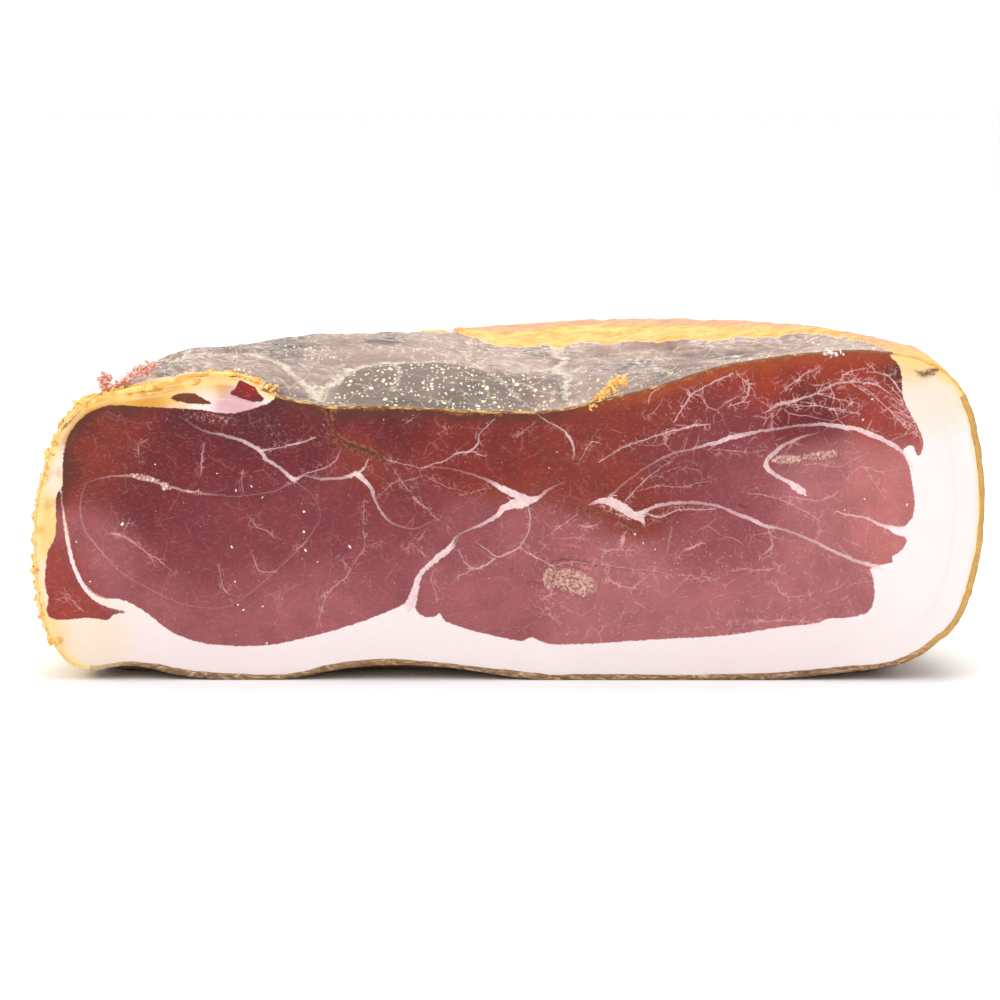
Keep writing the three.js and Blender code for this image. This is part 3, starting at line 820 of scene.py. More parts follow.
@dataclass(frozen=True)
class CutFleshFinish:
    """The moist cut face: lean in its tones, white fat, seams, veins, fissures and crumbly places."""

    vein_colour: Rgb = linear(216, 166, 164)
    seam_colour: Rgb = linear(236, 206, 206)
    crumb_pale: Rgb = linear(232, 190, 178)
    crumb_dark: Rgb = linear(146, 92, 82)
    crack_colour: Rgb = linear(110, 52, 36)
    crack_pale: Rgb = linear(170, 102, 68)
    painted_crack_shade: Rgb = linear(58, 20, 16)
    bark_dark: Rgb = linear(84, 38, 24)
    bark_glow: Rgb = linear(150, 62, 26)
    edge_gold: Rgb = linear(214, 150, 62)
    rim_fat: Rgb = linear(240, 206, 130)
    fat_pink: Rgb = linear(240, 212, 212)

    def make(self, effects: Effects) -> bpy.types.Material:
        """Builds the material."""
        material, graph, surface = new_finish("cut_flesh", 0.42)
        where = graph.places((1000, 0, 1000))
        warp = graph.warped(where, 6.0, 1.3)
        marbling = graph.stored("marbling")
        # Lean: its tone, uneven in lightness, with fine pale filaments and points of fat.
        mottle = graph.effect(effects.mottle, Coarse=7.0, Fine=0.7, Spread=0.26)
        lean = graph.shade(graph.stored("lean_tone", colour=True), mottle)
        fibre = graph.cloud(graph.warped(graph.places((900, 900, 1700), (0, 0.6, 0)), 9.0, 4.0), 1.0, 3)
        lean = graph.mix(graph.rise(fibre, 0.5, 0.8, 0.0, 0.14), lean, self.vein_colour)
        by_vein = graph.sum_of("MINIMUM", graph.stored("vein_near"), graph.stored("branch_near"))
        twigs = graph.rise(by_vein, 0.3, 2.8, 1.0, 0.0)
        twigs = graph.times(twigs, graph.plus(marbling, 0.25, clamp=True))
        for size, width, share, low, strength in (
            (8.5, 0.034, marbling, 0.46, 0.7), (4.0, 0.05, marbling, 0.5, 0.5), (2.3, 0.1, twigs, 0.44, 0.75),
        ):
            web = graph.cells(warp, size, "DISTANCE_TO_EDGE")
            ragged = graph.plus(web, graph.times(graph.cloud(where, 0.8, 3), width))
            web = graph.rise(ragged, width * 0.6, width * 1.3, 1.0, 0.0)
            web = graph.times(web, graph.rise(graph.cloud(where, size * 0.9, 3), low, low + 0.14))
            web = graph.times(web, share)
            lean = graph.mix(graph.times(web, strength), lean, self.vein_colour)
        points = graph.effect(effects.specks, Size=1.1, Fill=0.22, Amount=0.3)
        points = graph.times(points, graph.stored("dotted"))
        lean = graph.mix(graph.times(points, 0.42), lean, self.vein_colour)
        # The meat dries and darkens under the crust, and glows red-orange on the right where it is thin.
        uneven = graph.minus(graph.cloud(where, 2.6, 4, 0.6), 0.5)
        bark = graph.plus(graph.stored("bark"), graph.times(uneven, 0.7))
        dried = graph.mix(graph.stored("glow"), self.bark_dark, self.bark_glow)
        lean = graph.mix(graph.rise(bark, 0.1, 0.95, 0.0, 0.88), lean, graph.shade(dried, mottle))
        lean = graph.mix(graph.rise(bark, 0.95, 1.1, 0.0, 0.3), lean, self.edge_gold)
        # Fat, with faint layers along its length, yellow next to the rind.
        along = graph.node("ShaderNodeSeparateXYZ")
        graph.feed(along.inputs[0], graph.warped(where, 30.0, 3.0))
        across = graph.node("ShaderNodeCombineXYZ")
        graph.feed(across.inputs[0], graph.times(along.outputs[0], 0.012))
        graph.feed(across.inputs[1], graph.times(graph.stored("from_rim"), 0.4))
        layers = graph.cloud(across.outputs[0], 1.0, 4, 0.6)
        faint = graph.effect(effects.mottle, Coarse=11.0, Fine=1.2, Spread=0.03)
        fat = graph.shade(graph.stored("fat_tone", colour=True), faint)
        fat = graph.mix(graph.rise(layers, 0.5, 0.66, 0.0, 0.4), fat, self.fat_pink)
        rim = graph.plus(graph.stored("rim"), graph.times(graph.cloud(where, 3.0, 3), 0.3))
        fat = graph.mix(graph.rise(rim, 0.5, 1.25, 0.0, 0.85), fat, self.rim_fat)
        blotch = graph.rise(graph.cloud(warp, 5.0, 4), 0.5, 0.7)
        fat = graph.mix(graph.times(blotch, graph.stored("aged")), fat, self.edge_gold)
        ragged = graph.minus(graph.cloud(where, 1.3, 4, 0.65), 0.5)
        edge = graph.plus(graph.stored("lean_depth"), graph.times(ragged, 1.1))
        colour = graph.mix(graph.rise(edge, -0.18, 0.18), fat, lean)
        # Seams and veins of fat, then what has torn or crumbled.
        drawn = {
            name: {
                "Side": graph.stored(f"{name}_side"), "Near": graph.stored(f"{name}_near"),
                "Width": graph.stored(f"{name}_width"),
            }
            for name in ("seam", "branch", "vein", "crack")
        }
        line, vein, branch = effects.line, drawn["vein"], drawn["branch"]
        vein = graph.effect(line, **vein, Gain=0.66, Softness=0.1, Fray=1.1, Breaks=0.7, Faint=0.6)
        branch = graph.effect(line, **branch, Gain=0.62, Softness=0.1, Fray=1.1, Breaks=0.35, Faint=0.55)
        seam = graph.effect(line, **drawn["seam"], Gain=0.8, Softness=0.13, Fray=0.9, Breaks=0.15, Faint=0.12)
        colour = graph.mix(graph.times(vein, 0.8), colour, self.vein_colour)
        colour = graph.mix(graph.times(branch, 0.85), colour, self.seam_colour)
        pale = graph.shade(self.seam_colour, graph.rise(graph.cloud(where, 1.4, 4), 0.3, 0.7, 0.82, 1.05))
        colour = graph.mix(graph.times(seam, 0.95), colour, pale)
        grit = graph.cloud(where, 0.9, 4, 0.7)
        crumbs = graph.mix(graph.rise(grit, 0.38, 0.58), self.crumb_dark, self.crumb_pale)
        crumb = graph.plus(graph.stored("crumb"), graph.times(graph.minus(grit, 0.5), 1.6))
        shown = graph.rise(crumb, 0.4, 0.8)
        colour = graph.mix(graph.times(shown, 0.8), colour, crumbs)
        crack = graph.effect(line, **drawn["crack"], Gain=1.1, Softness=0.5, Fray=1.6, Breaks=0.4, Faint=0.5)
        # The thin dark line down the deepest part of each fissure is painted shade; the brown band round it
        # is dried meat.
        core = graph.effect(line, **drawn["crack"], Gain=0.3, Softness=0.14, Fray=1.1, Breaks=0.6, Faint=0.6)
        flecks = graph.rise(graph.cloud(where, 1.1, 4, 0.7), 0.4, 0.62)
        dry = graph.mix(flecks, self.crack_colour, self.crack_pale)
        colour = graph.mix(graph.times(crack, 0.75), colour, dry)
        colour = graph.mix(graph.times(core, 0.9), colour, self.painted_crack_shade)
        graph.feed(surface.inputs["Base Color"], colour)
        wet = graph.rise(graph.cloud(where, 14.0, 3), 0.35, 0.65, 0.34, 0.5)
        graph.feed(surface.inputs["Roughness"], graph.mix(shown, wet, 0.8))
        grain = graph.plus(graph.cloud(where, 0.55, 4, 0.6), graph.times(fibre, 0.6))
        raised = graph.plus(graph.times(seam, 0.6), graph.times(vein, 0.3))
        height = graph.minus(graph.plus(grain, raised), core)
        graph.feed(surface.inputs["Normal"], graph.bump(height, 0.00022, 0.45))
        surface.inputs["Specular IOR Level"].default_value = 0.3
        return material


@dataclass(frozen=True)
class CrustFinish:
    """The dried flesh side: grey-brown with a pale bloom that is partly painted sheen, cream specks, and
    yellow fat at its borders.
    """

    dark: Rgb = linear(76, 58, 48)
    brown: Rgb = linear(142, 110, 96)
    rose: Rgb = linear(168, 138, 126)
    bloom_and_sheen: Rgb = linear(204, 188, 178)
    speck: Rgb = linear(250, 236, 196)
    fat: Rgb = linear(222, 152, 56)
    fat_pale: Rgb = linear(236, 200, 124)
    fat_stain: Rgb = linear(186, 124, 70)
    fat_cream: Rgb = linear(244, 220, 160)
    skin: Rgb = linear(190, 140, 116)
    edge: Rgb = linear(134, 74, 32)
    edge_gold: Rgb = linear(232, 188, 104)
    seam_colour: Rgb = linear(226, 212, 188)

    def make(self, effects: Effects) -> bpy.types.Material:
        """Builds the material."""
        material, graph, surface = new_finish("dried_crust", 0.6)
        where = graph.places()
        long = graph.places((1000, 380, 1000))
        warp = graph.warped(long, 9.0, 3.0)
        speckled = graph.stored("speckled")
        patches = graph.cloud(warp, 17.0, 4)
        colour = graph.mix(graph.rise(patches, 0.36, 0.56), self.dark, self.brown)
        colour = graph.mix(graph.rise(graph.cloud(warp, 26.0, 2), 0.42, 0.6, 0.0, 0.85), colour, self.rose)
        slanted = graph.warped(graph.places((300, 420, 1000), (0, 0, 0.3)), 12.0, 6.0)
        streaks = graph.cloud(slanted, 1.0, 5, 0.65)
        # A pale haze along the streaks: partly the crust's own whitish bloom, partly painted sheen.
        bloom_and_sheen = graph.rise(graph.cloud(where, 18.0, 3), 0.3, 0.56)
        bloom_and_sheen = graph.times(graph.rise(streaks, 0.4, 0.66), bloom_and_sheen)
        bloom_and_sheen = graph.times(bloom_and_sheen, graph.rise(speckled, 0.0, 1.0, 0.85, 0.4))
        colour = graph.mix(bloom_and_sheen, colour, self.bloom_and_sheen)
        colour = graph.mix(graph.times(speckled, 0.6), colour, self.dark)
        colour = graph.mix(graph.times(graph.stored("dusky"), 0.26), colour, self.dark)
        lines = graph.rise(streaks, 0.6, 0.72)
        lines = graph.times(lines, graph.rise(graph.cloud(where, 6.0, 3), 0.46, 0.62))
        colour = graph.mix(graph.times(lines, 0.55), colour, self.speck)
        web = graph.rise(graph.cells(warp, 5.5, "DISTANCE_TO_EDGE"), 0.008, 0.045, 1.0, 0.0)
        web = graph.times(web, graph.rise(graph.cloud(long, 7.0, 2), 0.48, 0.62))
        colour = graph.mix(graph.times(web, 0.3), colour, self.speck)
        fine = graph.effect(effects.specks, Size=1.05, Fill=0.4, Amount=0.6, Length=3.0)
        bold = graph.effect(effects.specks, Size=2.3, Fill=0.27, Amount=0.65, Length=2.6)
        specks = graph.sum_of("MAXIMUM", fine, bold)
        thick = graph.rise(graph.cloud(where, 20.0, 2), 0.42, 0.6, 0.0, 0.6)
        specks = graph.times(specks, graph.sum_of("MAXIMUM", speckled, thick))
        colour = graph.mix(graph.times(specks, 0.92), colour, self.speck)
        seam = graph.effect(
            effects.line, Side=graph.stored("seam_side"), Near=graph.stored("seam_near"),
            Width=graph.stored("seam_width"), Softness=0.6, Fray=3.6, Breaks=0.45, Faint=0.6,
        )
        pale = graph.shade(self.seam_colour, graph.rise(graph.cloud(where, 1.5, 4), 0.35, 0.65, 0.7, 1.0))
        colour = graph.mix(graph.times(seam, 0.8), colour, pale)
        colour = graph.shade(colour, graph.effect(effects.mottle, Coarse=3.0, Fine=0.8, Spread=0.2))
        shift = graph.minus(graph.cloud(where, 4.0, 5, 0.6), 0.5)
        fatty = graph.plus(graph.stored("fatty"), graph.times(shift, 1.2))
        laid = graph.cloud(graph.warped(graph.places((160, 500, 500)), 9.0, 2.0), 1.0, 5, 0.6)
        fat = graph.mix(graph.rise(laid, 0.26, 0.74), self.fat, self.fat_pale)
        stained = graph.rise(graph.cloud(graph.warped(where, 5.0, 2.0), 7.0, 4), 0.56, 0.72, 0.0, 0.6)
        fat = graph.mix(stained, fat, self.fat_stain)
        fat = graph.mix(graph.times(graph.stored("pale_end"), 0.6), fat, self.fat_cream)
        fat = graph.shade(fat, graph.effect(effects.mottle, Coarse=5.0, Fine=0.9, Spread=0.22))
        skinned = graph.times(graph.stored("skin"), graph.rise(laid, 0.3, 0.6, 0.95, 0.6))
        fat = graph.mix(skinned, fat, self.skin)
        border = graph.rise(graph.sum_of("ABSOLUTE", graph.minus(fatty, 0.46)), 0.0, 0.16, 1.0, 0.0)
        colour = graph.mix(graph.rise(fatty, 0.42, 0.56), colour, fat)
        colour = graph.mix(graph.times(border, 0.6), colour, self.seam_colour)
        lip = graph.cloud(graph.places((330, 900, 1100)), 1.0, 4, 0.6)
        lip = graph.plus(lip, graph.times(graph.stored("browned"), -0.12))
        lip = graph.mix(graph.rise(lip, 0.42, 0.62), self.edge, self.edge_gold)
        lip = graph.mix(graph.rise(fatty, 0.4, 0.6), lip, fat)
        colour = graph.mix(graph.times(graph.stored("cut_edge"), 0.85), colour, lip)
        graph.feed(surface.inputs["Base Color"], colour)
        graph.feed(surface.inputs["Roughness"], graph.rise(streaks, 0.3, 0.7, 0.38, 0.62))
        drawn_out = graph.warped(graph.places((250, 600, 600), (0, 0, 0.35)), 9.0, 4.0)
        creases = graph.cloud(drawn_out, 1.0, 5, 0.6)
        height = graph.plus(creases, graph.times(graph.cloud(where, 1.1, 3), 0.4))
        height = graph.plus(height, graph.times(specks, 0.3))
        graph.feed(surface.inputs["Normal"], graph.bump(height, 0.0009, 0.6))
        surface.inputs["Specular IOR Level"].default_value = 0.35
        return material


@dataclass(frozen=True)
class RindFinish:
    """Smoked golden-brown skin with stains, pores and fine wrinkles, painted shade in the wrinkles and pores,
    and browner low down and towards the left end.
    """

    gold: Rgb = linear(206, 150, 62)
    brown: Rgb = linear(138, 96, 54)
    dark: Rgb = linear(92, 62, 40)
    pale: Rgb = linear(226, 190, 132)
    section: Rgb = linear(150, 112, 74)
    section_pale: Rgb = linear(206, 178, 140)
    section_dark: Rgb = linear(96, 70, 50)
    section_gold: Rgb = linear(206, 158, 78)

    def make(self, effects: Effects) -> bpy.types.Material:
        """Builds the material."""
        material, graph, surface = new_finish("rind", 0.5)
        where = graph.places()
        warp = graph.warped(where, 10.0, 3.0)
        colour = graph.mix(graph.rise(graph.cloud(warp, 24.0, 4), 0.36, 0.64), self.gold, self.pale)
        # Browner low down and towards the left end.
        colour = graph.mix(graph.stored("underside"), colour, self.brown)
        stains = graph.rise(graph.cloud(warp, 9.0, 5, 0.6), 0.5, 0.72, 0.0, 0.7)
        colour = graph.mix(stains, colour, self.brown)
        broad = graph.rise(graph.cloud(graph.warped(where, 25.0, 9.0), 32.0, 3), 0.5, 0.7, 0.0, 0.45)
        colour = graph.mix(broad, colour, self.dark)
        # Pores are darkened where the bump sinks: partly their own colour, partly painted shade in the pits.
        pores = graph.effect(effects.specks, Size=2.2, Fill=0.26, Amount=0.7)
        colour = graph.mix(graph.times(pores, 0.5), colour, self.dark)
        folds = graph.cloud(graph.warped(graph.places((190, 190, 420)), 5.0, 2.0), 1.0, 5, 0.6)
        wrinkles = graph.sum_of("ABSOLUTE", graph.minus(folds, 0.5))
        # Thin dark lines along the wrinkles, where the bump dips, are painted shade in the folds.
        lines = graph.rise(wrinkles, 0.0, 0.05, 1.0, 0.0)
        colour = graph.mix(graph.times(lines, 0.35), colour, self.dark)
        plies = graph.cloud(graph.warped(graph.places((420, 600, 1500), (0, 0.2, 0)), 3.0, 2.4), 1.0, 4, 0.6)
        section = graph.mix(graph.rise(plies, 0.36, 0.52), self.section_dark, self.section)
        section = graph.mix(graph.rise(plies, 0.52, 0.66), section, self.section_pale)
        section = graph.mix(graph.stored("whitish"), section, self.section_pale)
        section = graph.mix(graph.stored("golden"), section, self.section_gold)
        colour = graph.mix(graph.stored("cut_edge"), colour, section)
        colour = graph.shade(colour, graph.effect(effects.mottle, Coarse=5.0, Fine=0.8, Spread=0.2))
        graph.feed(surface.inputs["Base Color"], colour)
        graph.feed(surface.inputs["Roughness"], graph.rise(graph.cloud(where, 7.0, 3), 0.3, 0.7, 0.36, 0.6))
        height = graph.minus(graph.times(graph.rise(wrinkles, 0.0, 0.14), 0.7), pores)
        height = graph.plus(height, graph.cloud(where, 0.9, 3))
        graph.feed(surface.inputs["Normal"], graph.bump(height, 0.0005, 0.55))
        return material


@dataclass(frozen=True)
class MorselFinish:
    """A finish for small bits: two tones that mingle at a fine size."""

    name: str
    light: Rgb
    deep: Rgb
    roughness: float = 0.55
    grain: float = 0.9

    def make(self, effects: Effects) -> bpy.types.Material:
        """Builds the material."""
        material, graph, surface = new_finish(self.name, self.roughness)
        where = graph.places()
        colour = graph.mix(graph.rise(graph.cloud(where, self.grain, 3), 0.36, 0.64), self.deep, self.light)
        colour = graph.shade(colour, graph.effect(effects.mottle, Coarse=3.0, Fine=0.5, Spread=0.15))
        graph.feed(surface.inputs["Base Color"], colour)
        graph.feed(surface.inputs["Normal"], graph.bump(graph.cloud(where, self.grain / 2, 3), 0.0002, 0.5))
        return material


# ---- the form


@dataclass(frozen=True)
class CutPlane:
    """Lays drawing millimetres on the model: x to the right, z up, and depth behind the cut face.

    Attributes:
        low: The model's lowest corner, in metres.
        high: Its highest corner.
        left: The drawing's x at the model's left end.
        width: The drawing's width.
        height: The drawing's height.
    """

    low: Vector
    high: Vector
    left: float = -133.05
    width: float = 264.02
    height: float = 92.5

    def drawing(self, places: Array) -> Array:
        """Turns model coordinates into drawing x, z and depth."""
        size = self.high - self.low
        return np.column_stack([
            self.left + (places[:, 0] - self.low.x) / size.x * self.width,
            (places[:, 2] - self.low.z) / size.z * self.height,
            (places[:, 1] - self.low.y) / MM,
        ])

    def place(self, x: float, z: float, out: float = 0.0) -> Vector:
        """Gives the model place of a drawing place, out millimetres in front of the cut face."""
        size = self.high - self.low
        across = self.low.x + (x - self.left) / self.width * size.x
        return Vector((across, self.low.y - out * MM, self.low.z + z / self.height * size.z))


def positions(mesh: bpy.types.Mesh) -> Array:
    """Reads a mesh's vertex places as rows."""
    rows = np.empty(len(mesh.vertices) * 3)
    mesh.vertices.foreach_get("co", rows)
    return rows.reshape(-1, 3)


def store(mesh: bpy.types.Mesh, name: str, values: Array) -> None:
    """Stores one number, or one colour, for each vertex under a name."""
    if values.ndim == 1:
        mesh.attributes.new(name, "FLOAT", "POINT").data.foreach_set("value", values.astype(np.float32))
    else:
        rows = np.column_stack([values, np.ones(len(values))]).astype(np.float32)
        mesh.attributes.new(name, "FLOAT_COLOR", "POINT").data.foreach_set("color", rows.ravel())


def store_reach(mesh: bpy.types.Mesh, name: str, reach: Reach) -> None:
    """Stores how a mesh's vertices lie to some lines, for the drawn_line effect."""
    store(mesh, f"{name}_side", reach.side)
    store(mesh, f"{name}_near", reach.distance)
    store(mesh, f"{name}_width", reach.width)


def lay_out(mesh: bpy.types.Mesh, flat: Array, margin: float = 0.01) -> None:
    """Gives a mesh its texture layout from one flat place per vertex, fitted to the square."""
    low, size = flat.min(0), np.ptp(flat, 0).max()
    fitted = margin + (flat - low) / size * (1 - 2 * margin)
    corners = np.empty(len(mesh.loops), np.int32)
    mesh.loops.foreach_get("vertex_index", corners)
    mesh.uv_layers.new(name="OFBake").data.foreach_set("uv", fitted[corners].astype(np.float32).ravel())


def finish_piece(name: str, shape: Shape) -> bpy.types.Object:
    """Turns a shape into a smooth-shaded piece of the ham.

    Args:
        name: The piece's name.
        shape: Its shape, which is used up.
    """
    mesh = bpy.data.meshes.new(name)
    shape.normal_update()
    shape.to_mesh(mesh)
    shape.free()
    mesh.shade_smooth()
    piece = bpy.data.objects.new(name, mesh)
    bpy.context.scene.collection.objects.link(piece)
    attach(piece, BODY)
    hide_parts(NODE)
    return piece


class Form:
    """The ham's smooth outer form, taken from the model, with the cut face kept flat."""

    def __init__(self, model: bpy.types.Mesh, cut: CutPlane) -> None:
        """Reads the model's mesh and joins it into even faces.

        Args:
            model: The model's mesh.
            cut: Where its cut face lies.
        """
        self.cut = cut
        self.cage = bmesh.new()
        self.cage.from_mesh(model)
        bmesh.ops.remove_doubles(self.cage, verts=self.cage.verts, dist=1e-6)
        self.merge_front(self.cage)
        walls = [face for face in self.cage.faces if len(face.verts) == 3]
        bmesh.ops.join_triangles(self.cage, faces=walls, angle_face_threshold=0.7, angle_shape_threshold=0.9)
        crease = self.cage.edges.layers.float.new("crease_edge")
        for edge in self.front_of(self.cage)[0].edges:
            edge[crease] = 1.0

    def front_of(self, shape: Shape) -> list[bmesh.types.BMFace]:
        """Finds the faces that lie on the cut."""
        edge = self.cut.low.y + 1e-5
        return [face for face in shape.faces if all(vert.co.y < edge for vert in face.verts)]

    def merge_front(self, shape: Shape) -> None:
        """Joins the faces that lie on the cut into one."""
        shape.normal_update()
        bmesh.ops.dissolve_faces(shape, faces=self.front_of(shape), use_verts=False)
        shape.normal_update()

    def smoothed(self, levels: int) -> Shape:
        """Gives a copy of the form, made finer and smoother by a number of levels."""
        mesh = bpy.data.meshes.new("form")
        self.cage.to_mesh(mesh)
        holder = bpy.data.objects.new("form", mesh)
        bpy.context.scene.collection.objects.link(holder)
        smoother = holder.modifiers.new("smooth", "SUBSURF")
        smoother.levels = smoother.render_levels = levels
        evaluated = holder.evaluated_get(bpy.context.evaluated_depsgraph_get())
        shape = bmesh.new()
        shape.from_mesh(evaluated.to_mesh())
        evaluated.to_mesh_clear()
        bpy.data.objects.remove(holder)
        bpy.data.meshes.remove(mesh)
        self.merge_front(shape)
        return shape

    def outline(self) -> Array:
        """Gives the cut face's outline as rows of drawing x and z, going round once."""
        shape = self.smoothed(2)
        loop = np.array([vert.co[:] for vert in self.front_of(shape)[0].verts])
        shape.free()
        return self.cut.drawing(loop)[:, :2]

    def skyline(self, ring: Array) -> tuple[Array, Array]:
        """Gives the upper edge of the cut face as x and z, from left to right."""
        left, right = ring[ring[:, 0].argmin()], ring[ring[:, 0].argmax()]
        chord = left[1] + (ring[:, 0] - left[0]) / (right[0] - left[0]) * (right[1] - left[1])
        upper = ring[ring[:, 1] >= chord - 1e-6]
        upper = upper[upper[:, 0].argsort()]
        return upper[:, 0], upper[:, 1]

    def bareness(self, places: Array, normals: Array) -> Array:
        """Says where the rind was cut away: above 0 on the flesh side and the trimmed end, below 0 on skin.

        Args:
            places: Rows of drawing x, z and depth.
            normals: The surface's outward directions there.
        """
        around = np.degrees(np.arctan2(places[:, 2], -places[:, 0]))
        trimmed = 1 - ease(30, 44, around)
        top = normals[:, 2] - 0.46 - 0.3 * ease(20, 70, places[:, 2]) + 0.05 * rough(places, 34, 3.0, 2)
        top += 0.22 * (1 - ease(-85, -50, places[:, 0])) * ease(60, 90, places[:, 2])
        wall = (places[:, 1] - 6.5 - 2.0 * rough(places, 14, 9.0, 2)) / 12
        wall = np.maximum(wall, (-117.5 - places[:, 0]) / 8)
        return top * (1 - trimmed) + np.maximum(top, wall) * trimmed


# ---- pieces


